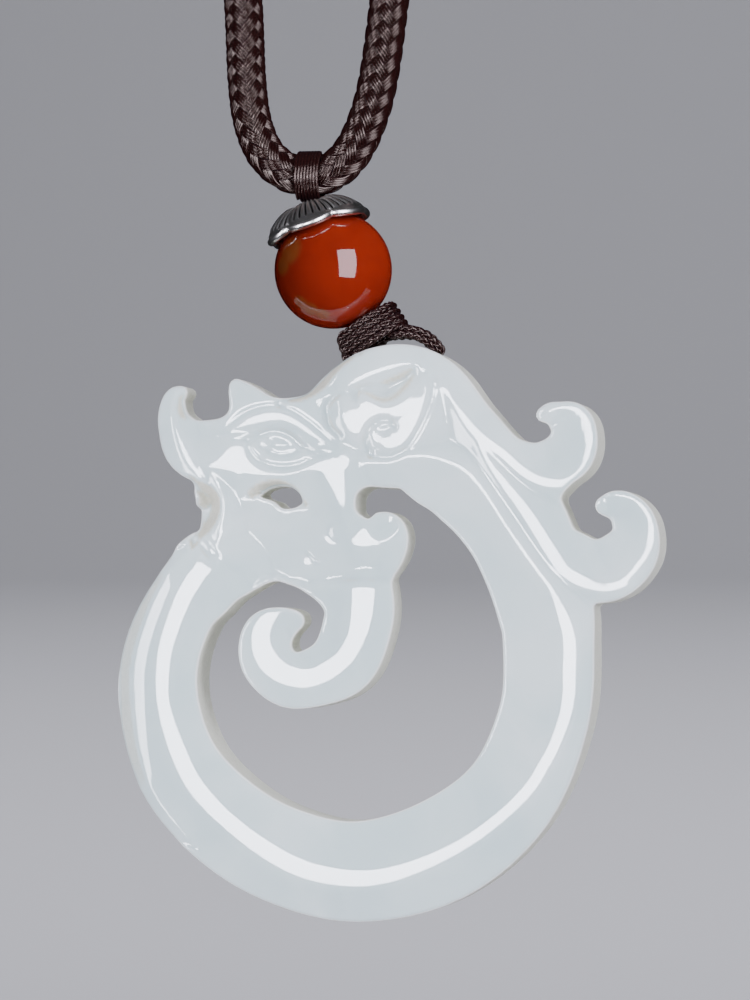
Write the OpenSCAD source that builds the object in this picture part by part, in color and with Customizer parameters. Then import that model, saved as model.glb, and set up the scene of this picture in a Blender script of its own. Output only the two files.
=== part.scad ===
// A carved white jade dragon ring pendant. It hangs under a red stone bead with a
// silver petal cap, on a braided neck cord that is one closed loop.
// Frame: the front faces -Y, X runs to the right of the front view, Z is up.
// The origin is the underside of the top of the loop, where it rests on a neck or a peg.

/* [Jade] */
// Width of the jade over the snout curl and the lower mane hook
jade_w = 55.2; // [51:0.1:60]
// Height of the jade over the hump and the foot of the ring
jade_h = 57.5; // [53:0.1:63]
// Thickness of the jade at the crest of the ring
jade_t = 7.6; // [6:0.1:8.8]
// Width of the ring's band, which all the strokes of the carving follow
band_w = 9.3; // [9:0.1:9.7]
// How high the brow, the eye and the ear stand over the face, at each side
carving_relief = 0.35; // [0.2:0.05:0.6]

/* [Bead] */
// Diameter of the stone bead
bead_d = 11.8; // [11:0.1:12.6]
// Bore through the bead and its cap
bead_bore = 2.0; // [1.9:0.1:2.4]
// Lean of the bead and its cap to the left, in degrees
bead_lean = 19; // [10:1:25]

/* [Cap] */
// Diameter of the silver cap over its petals
cap_d = 11.0; // [10:0.1:12]
// Height of the cap from its rim to its top
cap_h = 2.4; // [2.2:0.1:2.8]
// Thickness of the silver at the top of the cap
cap_wall = 1.0; // [0.8:0.1:1.2]
// Number of petals round the cap
cap_petals = 6; // [5:1:8]

/* [Cord] */
// Diameter of the braided neck cord
neck_cord_d = 3.9; // [3.6:0.1:4.2]
// Drop from the origin to the middle of the cord at the bottom of the loop
loop_drop = 292; // [280:1:310]
// Width of the loop, from the middle of the cord at one side to that at the other
loop_w = 111; // [104:1:120]
// Diameter of the thread through the bead
thread_d = 1.6; // [1.2:0.1:1.7]
// Wall of the thread that is wound round the neck cord
wrap_t = 0.3; // [0.25:0.05:0.5]
// Width of that winding along the neck cord
wrap_w = 2.4; // [1.8:0.1:2.7]
// Diameter of the fine braid that ties the bead to the jade
tie_d = 1.5; // [1.2:0.1:1.6]
// Bore of the slanted holes in the jade's hump
tie_bore = 2.0; // [1.9:0.1:2.4]

/* [Hidden] */

// Clearance between pieces that touch on the real jewel
gap = 0.15;
// Room for the neck cord's bend inside the winding
bend_room = 0.3;
bead_r = bead_d / 2;
cap_top = bead_r + gap + cap_wall;
lean_x = sin(bead_lean);
lean_z = cos(bead_lean);
// Depth of the hollow in the top of the cap, which the winding sinks into
cap_sink = 0.6;
// Extra drop where the winding is too wide for that hollow
wide_room = max(0, wrap_w / 2 * lean_x - 0.65 * cap_sink);
// Top of the cap's axis, under the middle of the winding
hang_x = -0.6;
hang_z = -loop_drop - neck_cord_d / 2 - bend_room - wrap_t - gap - wide_room;
bead_x = hang_x + cap_top * lean_x;
bead_z = hang_z - cap_top * lean_z;

// Columns of the tables of strokes: shares of the jade's width from its left side,
// of its height from its top, of half the band's width, and of its thickness
ACROSS = 0;
DOWN = 1;
HALF = 2;
THICK = 3;

// Rows that more than one stroke starts from
CROWN = [0.619, 0.191, 1.235, 0.90];
FACE = [0.276, 0.290, 1.44, 0.92];
BROW_END = [0.397, 0.172, 1.12, 0.90];
NECK_END = [0.167, 0.377, 0.77, 0.92];
JAW_END = [0.408, 0.369, 0.99, 0.90];
BACK = [0.665, 0.235, 1.14, 0.92];

// The ring, from the neck round the foot and up to the back of the head
RING = [
    NECK_END,
    [0.101, 0.506, 0.88, 0.96],
    [0.086, 0.617, 0.925, 0.98],
    [0.125, 0.736, 0.98, 1.00],
    [0.202, 0.830, 1.02, 1.00],
    [0.307, 0.889, 1.06, 1.00],
    [0.447, 0.913, 1.085, 1.00],
    [0.599, 0.878, 1.18, 1.00],
    [0.724, 0.783, 1.12, 1.00],
    [0.789, 0.642, 1.00, 1.00],
    [0.794, 0.513, 0.99, 0.98],
    [0.785, 0.452, 1.03, 0.96],
    [0.711, 0.318, 0.90, 0.92],
    BACK,
    CROWN
];
// The head, from the brow's end to the face
HEAD = [
    BROW_END,
    [0.335, 0.209, 1.44, 0.92],
    [0.279, 0.226, 1.53, 0.92],
    FACE
];
// The jaw and the beard scroll that hangs from it
JAW = [
    FACE,
    [0.327, 0.322, 1.14, 0.90],
    JAW_END,
    [0.449, 0.443, 0.775, 0.88],
    [0.445, 0.496, 0.755, 0.86],
    [0.423, 0.548, 0.73, 0.84],
    [0.381, 0.574, 0.645, 0.82],
    [0.320, 0.583, 0.59, 0.80],
    [0.278, 0.548, 0.60, 0.78],
    [0.279, 0.503, 0.58, 0.76],
    [0.307, 0.482, 0.365, 0.66],
    [0.331, 0.477, 0.215, 0.56]
];
// The lip that curls up into the ring
LIP = [
    JAW_END,
    [0.471, 0.363, 0.69, 0.84],
    [0.498, 0.330, 0.45, 0.76],
    [0.487, 0.303, 0.13, 0.56]
];
// The cheek behind the mouth
CHEEK = [
    [0.335, 0.235, 1.18, 0.92],
    [0.381, 0.278, 0.775, 0.88]
];
// The throat under the jaw
THROAT = [
    [0.160, 0.423, 0.75, 0.92],
    [0.191, 0.400, 0.69, 0.90],
    [0.243, 0.370, 0.69, 0.88],
    [0.272, 0.348, 0.775, 0.90]
];
// The neck between the face and the ring
NECK = [
    FACE,
    [0.199, 0.353, 0.58, 0.84],
    NECK_END
];
// The snout that curls up at the left
SNOUT = [
    [0.215, 0.191, 0.795, 0.90],
    [0.143, 0.179, 0.62, 0.86],
    [0.110, 0.139, 0.41, 0.80],
    [0.103, 0.110, 0.335, 0.74],
    [0.110, 0.089, 0.26, 0.66],
    [0.127, 0.080, 0.15, 0.54]
];
// The small horn over the brow
HORN = [
    [0.265, 0.148, 0.73, 0.88],
    [0.243, 0.104, 0.43, 0.76],
    [0.230, 0.082, 0.26, 0.64],
    [0.224, 0.071, 0.16, 0.54]
];
// The hump that carries the ear and the holes for the tie
HUMP = [
    BROW_END,
    [0.430, 0.155, 1.225, 0.90],
    [0.467, 0.134, 1.41, 0.90],
    [0.515, 0.127, 1.53, 0.90],
    [0.544, 0.130, 1.505, 0.90],
    [0.577, 0.151, 1.365, 0.90],
    CROWN
];
// The upper lock of the mane
UPPER_MANE = [
    CROWN,
    [0.702, 0.217, 0.775, 0.88],
    [0.767, 0.231, 0.69, 0.86],
    [0.807, 0.212, 0.57, 0.84],
    [0.835, 0.191, 0.56, 0.82],
    [0.844, 0.162, 0.495, 0.80],
    [0.838, 0.139, 0.52, 0.78],
    [0.818, 0.125, 0.375, 0.72],
    [0.798, 0.118, 0.27, 0.64],
    [0.781, 0.123, 0.17, 0.54]
];
// The lower lock of the mane
LOWER_MANE = [
    BACK,
    [0.739, 0.296, 0.97, 0.90],
    [0.798, 0.357, 0.665, 0.88],
    [0.835, 0.377, 0.635, 0.88],
    [0.871, 0.395, 0.665, 0.86],
    [0.908, 0.391, 0.68, 0.84],
    [0.938, 0.370, 0.625, 0.82],
    [0.956, 0.344, 0.505, 0.80],
    [0.952, 0.308, 0.54, 0.78],
    [0.938, 0.282, 0.375, 0.72],
    [0.915, 0.280, 0.32, 0.64],
    [0.897, 0.282, 0.205, 0.54]
];
BROAD_STROKES = [HEAD, LIP, CHEEK, THROAT, NECK, HORN, HUMP];
CURLED_STROKES = [JAW, SNOUT, UPPER_MANE, LOWER_MANE];

// Where the bead hangs over the jade, as a share of the jade's width
bead_across = 0.395;
// Room between the bead and the top of the hump, where the tie shows
tie_room = 1.89;
// Height of the hump's top over the box that the shares are measured from
hump_rise = HUMP[3][HALF] * band_w / 2 - HUMP[3][DOWN] * jade_h;
// Corner of that box
jade_left = bead_x - bead_across * jade_w;
jade_top = bead_z - bead_r - tie_room - hump_rise;

// Raised carving on both faces of the head: the same columns, without a thickness
BROW = [
    [0.200, 0.157, 0.05],
    [0.250, 0.125, 0.11],
    [0.300, 0.112, 0.13],
    [0.355, 0.135, 0.13],
    [0.405, 0.180, 0.08]
];
EYE = [
    [0.262, 0.160, 0.10],
    [0.300, 0.168, 0.20],
    [0.345, 0.185, 0.10]
];
EAR = [
    [0.395, 0.078, 0.12],
    [0.430, 0.118, 0.26],
    [0.495, 0.128, 0.30],
    [0.550, 0.105, 0.26],
    [0.583, 0.062, 0.12]
];
EAR_CURL = [
    [0.560, 0.140, 0.20],
    [0.520, 0.172, 0.24],
    [0.488, 0.165, 0.20],
    [0.497, 0.140, 0.12]
];
CARVINGS = [BROW, EYE, EAR, EAR_CURL];

// Corners of the pierced hole under the eye, as shares across and down
PIERCED = [
    [0.268, 0.264],
    [0.287, 0.253],
    [0.309, 0.248],
    [0.330, 0.253],
    [0.341, 0.267],
    [0.333, 0.281],
    [0.305, 0.284],
    [0.293, 0.272],
    [0.279, 0.269]
];

// Section of a stroke: shares of its half width and of half its thickness
SECTION = [
    [1.00, 0.46],
    [0.86, 0.84],
    [0.42, 1.00]
];
// Sides of the round ends of a stroke, and of a raised line
stroke_sides = 12;
line_sides = 8;
// Steps of a stroke between two rows of its table: the ring, the curls and the broad ones
ring_steps = 3;
curl_steps = 2;
broad_steps = 1;
// Thickness at the root of the raised lines, under the face, as a share of the jade's
root_thick = 0.83;
// Thickness of the face that the raised lines stand on, as a share of the jade's
face_thick = 0.92;

// Where the two holes for the tie meet inside the hump
TIE_MEET = [0.505, 0.075];
// The slanted bundle of turns under the bead: the direction from the bead's middle in
// degrees, how far it runs up and down from there, its diameter and its spread in depth
bundle_turn = -57;
bundle_up = 3.2;
bundle_down = 1.9;
bundle_d = 1.6 * tie_d;
bundle_spread = 2.1;
// Spread in depth of the turns along the hump
band_spread = 1.5;
rod_sides = 16;
// The thread ends this far inside the bead's lower end
thread_end = 0.8;

// Both sides of the neck cord's loop, from its lowest bend to its top. Up is a share of
// the loop's height, left and right are shares of half its width.
UP = 0;
LEFT = 1;
RIGHT = 2;
LOOP = [
    [0.0017, -0.054, 0.029],
    [0.008, -0.094, 0.065],
    [0.019, -0.119, 0.094],
    [0.034, -0.130, 0.115],
    [0.061, -0.137, 0.135],
    [0.105, -0.155, 0.162],
    [0.170, -0.216, 0.225],
    [0.252, -0.324, 0.333],
    [0.333, -0.459, 0.459],
    [0.415, -0.604, 0.604],
    [0.497, -0.739, 0.739],
    [0.578, -0.865, 0.865],
    [0.663, -0.955, 0.955],
    [0.748, -1.000, 1.000],
    [0.827, -0.973, 0.973],
    [0.898, -0.847, 0.847],
    [0.953, -0.631, 0.631],
    [0.990, -0.324, 0.324]
];
route_steps = 2;
cord_sides = 10;

// Points of a smooth curve through the rows of a table, its first and last row included
function mix(a, b, c, d, t) =
    0.5 * (2 * b + (c - a) * t + (2 * a - 5 * b + 4 * c - d) * t * t + (3 * b - a - 3 * c + d) * t * t * t);
function open_curve(rows, steps) =
    let (last = len(rows) - 1)
    concat(
        [for (i = [0 : last - 1], s = [0 : steps - 1])
            mix(rows[max(i - 1, 0)], rows[i], rows[i + 1], rows[min(i + 2, last)], s / steps)],
        [rows[last]]
    );
function closed_curve(rows, steps) =
    let (n = len(rows))
    [for (i = [0 : n - 1], s = [0 : steps - 1])
        mix(rows[(i + n - 1) % n], rows[i], rows[(i + 1) % n], rows[(i + 2) % n], s / steps)];

function jade_x(row) = jade_left + row[ACROSS] * jade_w;
function jade_z(row) = jade_top - row[DOWN] * jade_h;

// One rounded pebble of a stroke, flat on both faces and round at its rim
module pebble(row) {
    half_width = row[HALF] * band_w / 2;
    half_thick = row[THICK] * jade_t / 2;
    front = [for (p = SECTION) [p[0] * half_width, p[1] * half_thick]];
    back = [for (i = [len(SECTION) - 1 : -1 : 0]) [SECTION[i][0] * half_width, -SECTION[i][1] * half_thick]];
    translate([jade_x(row), 0, jade_z(row)])
        rotate([90, 0, 0])
            rotate_extrude($fn = stroke_sides)
                polygon(concat([[0, half_thick]], [for (i = [len(front) - 1 : -1 : 0]) front[i]],
                    [for (i = [len(back) - 1 : -1 : 0]) back[i]], [[0, -half_thick]]));
}

// A tapered stroke of the carving through the rows of its table
module stroke(rows, steps) {
    line = open_curve(rows, steps);
    for (i = [0 : len(line) - 2]) {
        hull() {
            pebble(line[i]);
            pebble(line[i + 1]);
        }
    }
}

// A low raised line of carving on both faces of the head, with sloping sides
module carving(rows) {
    line = open_curve(rows, broad_steps);
    root = root_thick * jade_t;
    crest = face_thick * jade_t + 2 * carving_relief;
    for (i = [0 : len(line) - 2]) {
        hull() {
            for (row = [line[i], line[i + 1]]) {
                translate([jade_x(row), 0, jade_z(row)])
                    rotate([90, 0, 0]) {
                        cylinder(h = root, r = row[HALF] * band_w / 2, center = true, $fn = line_sides);
                        cylinder(h = crest, r = row[HALF] * band_w / 4, center = true, $fn = line_sides);
                    }
            }
        }
    }
}

// A straight round rod between two places on the jade, at the middle of its thickness
module rod(from, to, d) {
    dx = to[0] - from[0];
    dz = to[1] - from[1];
    translate([from[0], 0, from[1]])
        rotate([0, atan2(dx, dz), 0])
            cylinder(h = norm([dx, dz]), d = d, $fn = rod_sides);
}

function on_jade(share) = [jade_left + share[0] * jade_w, jade_top - share[1] * jade_h];

module jade() {
    color("honeydew")
    difference() {
        union() {
            stroke(RING, ring_steps);
            for (rows = CURLED_STROKES)
                stroke(rows, curl_steps);
            for (rows = BROAD_STROKES)
                stroke(rows, broad_steps);
            for (rows = CARVINGS)
                carving(rows);
        }
        rotate([90, 0, 0])
            linear_extrude(2 * jade_t, center = true)
                polygon([for (p = PIERCED) [jade_x(p), jade_z(p)]]);
        tie_hole(tie_left);
        tie_hole(tie_right);
    }
}

// A place over the rim of the hump, in the middle of a braid that lies on it: around one
// row of the hump's table, at an angle from the right
function over_hump(row, angle) =
    [jade_x(row), jade_z(row)] + (row[HALF] * band_w / 2 + tie_d / 2 + 2 * gap) * [cos(angle), sin(angle)];
tie_left = over_hump(HUMP[2], 122);
tie_right = over_hump(HUMP[4], 64.5);

// One of the two slanted holes, which run in from the hump's shoulders and meet inside
module tie_hole(outer) {
    inner = on_jade(TIE_MEET);
    past = outer + 0.5 * (outer - inner);
    rod(inner, past, tie_bore);
    translate([inner[0], 0, inner[1]])
        sphere(d = tie_bore, $fn = rod_sides);
}

// Turns the bead's axis to its lean, with the bead's middle at the origin of the children
module on_bead_axis() {
    translate([bead_x, 0, bead_z])
        rotate([0, -bead_lean, 0])
            children();
}

module bead() {
    color("orangered")
    on_bead_axis()
        difference() {
            sphere(d = bead_d, $fn = 64);
            cylinder(h = 2 * bead_d, d = bead_bore, center = true, $fn = 32);
        }
}

// A shallow dish over the bead, with a scalloped rim and a rolled edge
module bead_cap() {
    rim_r = cap_d / 2;
    rim_z = cap_top - cap_h;
    bore_r = bead_bore / 2;
    color("silver")
    on_bead_axis()
        difference() {
            rotate_extrude($fn = 64)
                polygon([
                    [bore_r, cap_top - cap_sink],
                    [wrap_w / 2 + 0.7, cap_top],
                    [rim_r * 0.5, cap_top - 0.1 * cap_h],
                    [rim_r * 0.74, cap_top - 0.38 * cap_h],
                    [rim_r * 0.92, cap_top - 0.72 * cap_h],
                    [rim_r, rim_z + 0.1 * cap_h],
                    [rim_r * 0.98, rim_z],
                    [rim_r * 0.89, rim_z],
                    [rim_r * 0.76, cap_top - cap_wall - 0.38 * cap_h],
                    [rim_r * 0.5, cap_top - cap_wall - 0.12 * cap_h],
                    [bore_r, cap_top - cap_wall]
                ]);
            for (k = [0 : cap_petals - 1])
                rotate([0, 0, (k + 0.5) * 360 / cap_petals])
                    translate([rim_r * 1.06, 0, 0])
                        cylinder(h = 2 * cap_top, d = 0.2 * rim_r, $fn = 24);
        }
}

// The loop's route, across and up from the origin: the lowest bend, the left side up, the
// top and the right side down
function loop_point(across, up) =
    [across * loop_w / 2, up * (loop_drop + neck_cord_d / 2) - loop_drop];
route = closed_curve(concat(
    [[hang_x, -loop_drop]],
    [for (row = LOOP) loop_point(row[LEFT], row[UP])],
    [loop_point(0, 1)],
    [for (i = [len(LOOP) - 1 : -1 : 0]) loop_point(LOOP[i][RIGHT], LOOP[i][UP])]
), route_steps);

// A tube of regular rings swept along the closed route, which lies flat in the X Z plane
module neck_cord() {
    n = len(route);
    rings = [for (i = [0 : n - 1])
        let (ahead = route[(i + 1) % n] - route[(i + n - 1) % n])
        let (across = [ahead[1], -ahead[0]] / norm(ahead))
        for (k = [0 : cord_sides - 1])
            let (turn = (k + 0.5) * 360 / cord_sides)
            [route[i][0] + across[0] * cos(turn) * neck_cord_d / 2,
             sin(turn) * neck_cord_d / 2,
             route[i][1] + across[1] * cos(turn) * neck_cord_d / 2]];
    faces = [for (i = [0 : n - 1], k = [0 : cord_sides - 1])
        let (next = (i + 1) % n, side = (k + 1) % cord_sides)
        [i * cord_sides + k, next * cord_sides + k, next * cord_sides + side, i * cord_sides + side]];
    color("maroon")
        polyhedron(points = rings, faces = faces, convexity = 10);
}

// The thread: a winding round the neck cord's lowest bend, and the run through cap and bead
module bead_thread() {
    inner_d = neck_cord_d + 2 * bend_room;
    outer_d = inner_d + 2 * wrap_t;
    run = cap_top + bead_r - thread_end;
    color("saddlebrown")
    union() {
        translate([hang_x, 0, -loop_drop])
            rotate([0, 90, 0])
                difference() {
                    cylinder(h = wrap_w, d = outer_d, center = true, $fn = 48);
                    cylinder(h = 2 * wrap_w, d = inner_d, center = true, $fn = 48);
                }
        difference() {
            on_bead_axis()
                translate([0, 0, cap_top - run])
                    cylinder(h = run + gap + wrap_t, d = thread_d, $fn = 32);
            translate([hang_x, 0, -loop_drop])
                rotate([0, 90, 0])
                    cylinder(h = 2 * wrap_w, d = inner_d, center = true, $fn = 48);
        }
    }
}

// A place in a bundle of turns: the bundle is wider to the front and back than it is high
module turns(place, d, spread) {
    translate([place[0], 0, place[1]])
        scale([1, spread, 1])
            sphere(d = d, $fn = rod_sides);
}

// Turns that run straight from one place to the next
module bundle(from, to, d, spread) {
    hull() {
        turns(from, d, spread);
        turns(to, d, spread);
    }
}

// The fine braid that ties the bead to the jade: a slanted bundle of turns under the bead,
// a thinner one along the hump, and the braid through the two slanted holes
module jade_knot() {
    out = [cos(bundle_turn), sin(bundle_turn)];
    along = [-out[1], out[0]];
    bundle_mid = [bead_x, bead_z] + (bead_r + gap + bundle_d / 2) * out;
    bundle_top = bundle_mid + bundle_up * along;
    bundle_low = bundle_mid - bundle_down * along;
    band_start = over_hump(HUMP[3], 94);
    band_mid = over_hump(HUMP[4], 87);
    meet = on_jade(TIE_MEET);
    color("saddlebrown")
    union() {
        bundle(bundle_top, bundle_low, bundle_d, bundle_spread);
        bundle(bundle_low, tie_left, tie_d, 1);
        bundle(bundle_top, band_start, tie_d, band_spread);
        bundle(band_start, band_mid, tie_d, band_spread);
        bundle(band_mid, tie_right, tie_d, 1);
        rod(meet, tie_left, tie_d);
        rod(meet, tie_right, tie_d);
        translate([meet[0], 0, meet[1]])
            sphere(d = tie_d, $fn = rod_sides);
    }
}

jade();
bead();
bead_cap();
neck_cord();
bead_thread();
jade_knot();
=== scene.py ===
"""A carved white jade dragon ring under a red stone bead, on a braided neck cord.

The solids of the frame give the places and sizes that the pieces are fitted to. This script
builds the carving, the stone, the silver petals and the braids over them, and their finishes.
"""

import math

import bpy
import numpy as np
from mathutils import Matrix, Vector


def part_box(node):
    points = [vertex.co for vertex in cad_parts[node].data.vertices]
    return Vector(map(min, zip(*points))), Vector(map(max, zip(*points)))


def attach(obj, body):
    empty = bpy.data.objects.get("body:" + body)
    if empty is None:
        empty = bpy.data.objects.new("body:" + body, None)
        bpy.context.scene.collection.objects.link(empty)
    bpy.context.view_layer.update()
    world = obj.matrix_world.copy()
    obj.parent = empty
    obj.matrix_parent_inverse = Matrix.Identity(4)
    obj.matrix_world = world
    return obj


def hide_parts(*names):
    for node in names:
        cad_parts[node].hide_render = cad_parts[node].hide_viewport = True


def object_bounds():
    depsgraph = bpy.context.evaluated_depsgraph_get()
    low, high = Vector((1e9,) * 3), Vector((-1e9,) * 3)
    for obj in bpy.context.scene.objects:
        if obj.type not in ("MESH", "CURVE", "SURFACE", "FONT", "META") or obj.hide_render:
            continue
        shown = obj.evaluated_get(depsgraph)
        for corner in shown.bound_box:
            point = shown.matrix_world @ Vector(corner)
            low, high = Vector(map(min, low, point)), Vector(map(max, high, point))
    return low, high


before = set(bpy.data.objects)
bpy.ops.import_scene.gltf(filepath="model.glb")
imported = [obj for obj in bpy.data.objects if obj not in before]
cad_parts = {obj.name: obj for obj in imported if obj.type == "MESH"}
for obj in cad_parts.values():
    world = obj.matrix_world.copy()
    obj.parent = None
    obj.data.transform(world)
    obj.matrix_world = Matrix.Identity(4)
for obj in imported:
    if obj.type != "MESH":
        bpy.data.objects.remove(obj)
CAD_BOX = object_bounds()

bl_info = {
    "name": "Jade Ring Pendant",
    "version": (1, 0, 0),
    "blender": (4, 5, 0),
    "location": "View3D > Sidebar > Jade Pendant",
    "description": "Builds a carved jade ring pendant on its braided cord, with its finishes",
    "category": "Object",
}

MM = 0.001
# Farther than anything on the pendant is from anything else
FAR = 1.0
# Points of a cut that are nearer than this are merged, and thinner slivers are taken out
MERGED_WITHIN = 0.004 * MM
SLIVER = 0.002 * MM
JADE_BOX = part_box("jade")
BEAD_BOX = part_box("bead")
CORD_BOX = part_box("neck_cord")

# The carving is drawn on a sheet ten units to the millimetre. These are the sheet's places
# of the corner and the size of the box that the outline's shares are measured in.
SHEET_LEFT = 118
SHEET_TOP = 345
SHEET_ACROSS = 544
SHEET_DOWN = 575
# Where the sides of the jade's solid fall in that box, as shares: left, right, top, foot
SOLID_SHARES = (0.008, 1.0004, 0.003, 1.0005)


class PendantJade(bpy.types.PropertyGroup):
    """Sizes and colours of the jade."""

    cell: bpy.props.FloatProperty(
        name="Cell", description="Side of a cell of the carved faces", default=0.213 * MM, unit="LENGTH"
    )
    tie_bore: bpy.props.FloatProperty(
        name="Tie bore", description="Diameter of the slanted holes", default=2.0 * MM, unit="LENGTH"
    )
    rim_round: bpy.props.FloatProperty(
        name="Rim round", description="Radius of the rounded rim", default=0.36 * MM, unit="LENGTH"
    )
    body_colour: bpy.props.FloatVectorProperty(
        name="Body", description="Colour of the stone", subtype="COLOR", default=(0.585, 0.70, 0.715)
    )
    cloud_colour: bpy.props.FloatVectorProperty(
        name="Cloud", description="Colour of the paler clouds in the stone", subtype="COLOR",
        default=(0.70, 0.79, 0.80)
    )
    # Edge: a painted highlight, a bright line along the thin rim that stands in for the rounded edge catching
    # the light
    painted_edge_highlight: bpy.props.FloatVectorProperty(
        name="Edge", description="Colour of the thin highlit edge", subtype="COLOR", default=(0.93, 0.95, 0.92)
    )
    wall_dark: bpy.props.FloatVectorProperty(
        name="Wall shade", description="Darker colour of the sawn walls", subtype="COLOR",
        default=(0.52, 0.52, 0.43)
    )
    wall_pale: bpy.props.FloatVectorProperty(
        name="Wall", description="Paler colour of the sawn walls", subtype="COLOR", default=(0.82, 0.81, 0.72)
    )


class PendantBead(bpy.types.PropertyGroup):
    """Sizes and colours of the bead and its cap."""

    lean: bpy.props.FloatProperty(
        name="Lean", description="Lean of the bead's axis to the left", default=math.radians(19),
        subtype="ANGLE"
    )
    bore: bpy.props.FloatProperty(
        name="Bore", description="Diameter of the drilled hole", default=2.0 * MM, unit="LENGTH"
    )
    red: bpy.props.FloatVectorProperty(
        name="Red", description="Colour of the stone", subtype="COLOR", default=(0.19, 0.0145, 0.006)
    )
    deep_red: bpy.props.FloatVectorProperty(
        name="Deep red", description="Deeper colour of the stone", subtype="COLOR",
        default=(0.145, 0.0105, 0.005)
    )
    amber: bpy.props.FloatVectorProperty(
        name="Amber", description="Colour of its brown patches", subtype="COLOR", default=(0.15, 0.045, 0.012)
    )
    silver: bpy.props.FloatVectorProperty(
        name="Silver", description="Colour of the silver", subtype="COLOR", default=(0.93, 0.91, 0.88)
    )
    tarnish: bpy.props.FloatVectorProperty(
        name="Tarnish", description="Colour of the silver's grooves", subtype="COLOR",
        default=(0.012, 0.010, 0.009)
    )


class PendantCord(bpy.types.PropertyGroup):
    """Sizes and colours of the braids."""

    pitch: bpy.props.FloatProperty(
        name="Pitch", description="Length of one turn of a strand", default=14.0 * MM, unit="LENGTH"
    )
    brown: bpy.props.FloatVectorProperty(
        name="Brown", description="Colour of the thread", subtype="COLOR", default=(0.015, 0.0034, 0.0030)
    )
    deep: bpy.props.FloatVectorProperty(
        name="Deep", description="Colour of the thread in its shades", subtype="COLOR",
        default=(0.0018, 0.0008, 0.0008)
    )


# Curves and meshes


def smooth_curve(rows, steps, closed=False):
    """Rows of a smooth curve through the rows of a table."""
    rows = np.asarray(rows, float)
    if closed:
        ends = np.vstack([rows[-1:], rows, rows[:2]])
        spans = len(rows)
    else:
        ends = np.vstack([rows[:1], rows, rows[-1:]])
        spans = len(rows) - 1
    t = (np.arange(steps) / steps)[:, None]
    out = []
    for i in range(spans):
        a, b, c, d = ends[i:i + 4]
        out.append(0.5 * (2 * b + (c - a) * t + (2 * a - 5 * b + 4 * c - d) * t ** 2
                          + (3 * b - a - 3 * c + d) * t ** 3))
    if not closed:
        out.append(rows[-1:])
    return np.vstack(out)


def blur(field, radius):
    """A field of cells smoothed over a radius given in cells."""
    n = int(math.ceil(3 * radius))
    weights = np.exp(-0.5 * (np.arange(-n, n + 1) / radius) ** 2)
    weights /= weights.sum()
    for axis in (0, 1):
        padded = np.pad(field, [(n, n) if k == axis else (0, 0) for k in (0, 1)], "edge")
        size = field.shape[axis]
        field = sum(w * np.take(padded, range(i, i + size), axis) for i, w in enumerate(weights))
    return field


def deselect():
    """Leaves nothing selected, so that an operator acts only on what comes next."""
    bpy.ops.object.select_all(action="DESELECT")


def make_active(piece):
    """Selects one piece alone and makes it the active one."""
    deselect()
    piece.select_set(True)
    bpy.context.view_layer.objects.active = piece


def mesh_object(name, points, faces, uv=None):
    """A new closed mesh object, smooth, with its place in its points and its faces outward."""
    mesh = bpy.data.meshes.new(name)
    mesh.from_pydata([tuple(p) for p in points], [], [tuple(int(i) for i in f) for f in faces])
    mesh.update()
    piece = bpy.data.objects.new(name, mesh)
    bpy.context.collection.objects.link(piece)
    make_active(piece)
    bpy.ops.object.mode_set(mode="EDIT")
    bpy.ops.mesh.select_all(action="SELECT")
    bpy.ops.mesh.normals_make_consistent(inside=False)
    bpy.ops.object.mode_set(mode="OBJECT")
    bpy.ops.object.shade_smooth()
    if uv is not None:
        layer = mesh.uv_layers.new(name="weave")
        loops = np.empty(len(mesh.loops), int)
        mesh.loops.foreach_get("vertex_index", loops)
        layer.data.foreach_set("uv", np.asarray(uv, float)[loops].ravel())
    return piece


def mark(piece, name, values):
    """Stores a value at each point of a piece, for its material."""
    layer = piece.data.attributes.new(name, "FLOAT", "POINT")
    layer.data.foreach_set("value", np.asarray(values, float))


def apply_all(piece):
    """Applies the modifiers and the place of a piece."""
    make_active(piece)
    for modifier in list(piece.modifiers):
        bpy.ops.object.modifier_apply(modifier=modifier.name)
    bpy.ops.object.transform_apply(location=True, rotation=True, scale=True)


def cut_away(piece, drill, solver):
    """Cuts an object out of a piece and removes it."""
    cut = piece.modifiers.new("Drill", "BOOLEAN")
    cut.object = drill
    cut.operation = "DIFFERENCE"
    cut.solver = solver
    apply_all(piece)
    bpy.data.objects.remove(drill)


def clean(piece):
    """Merges the points and slivers that a cut leaves along its edge."""
    make_active(piece)
    bpy.ops.object.mode_set(mode="EDIT")
    bpy.ops.mesh.select_all(action="SELECT")
    bpy.ops.mesh.remove_doubles(threshold=MERGED_WITHIN)
    bpy.ops.mesh.dissolve_degenerate(threshold=SLIVER)
    bpy.ops.object.mode_set(mode="OBJECT")


# The jade's outline and relief

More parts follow.
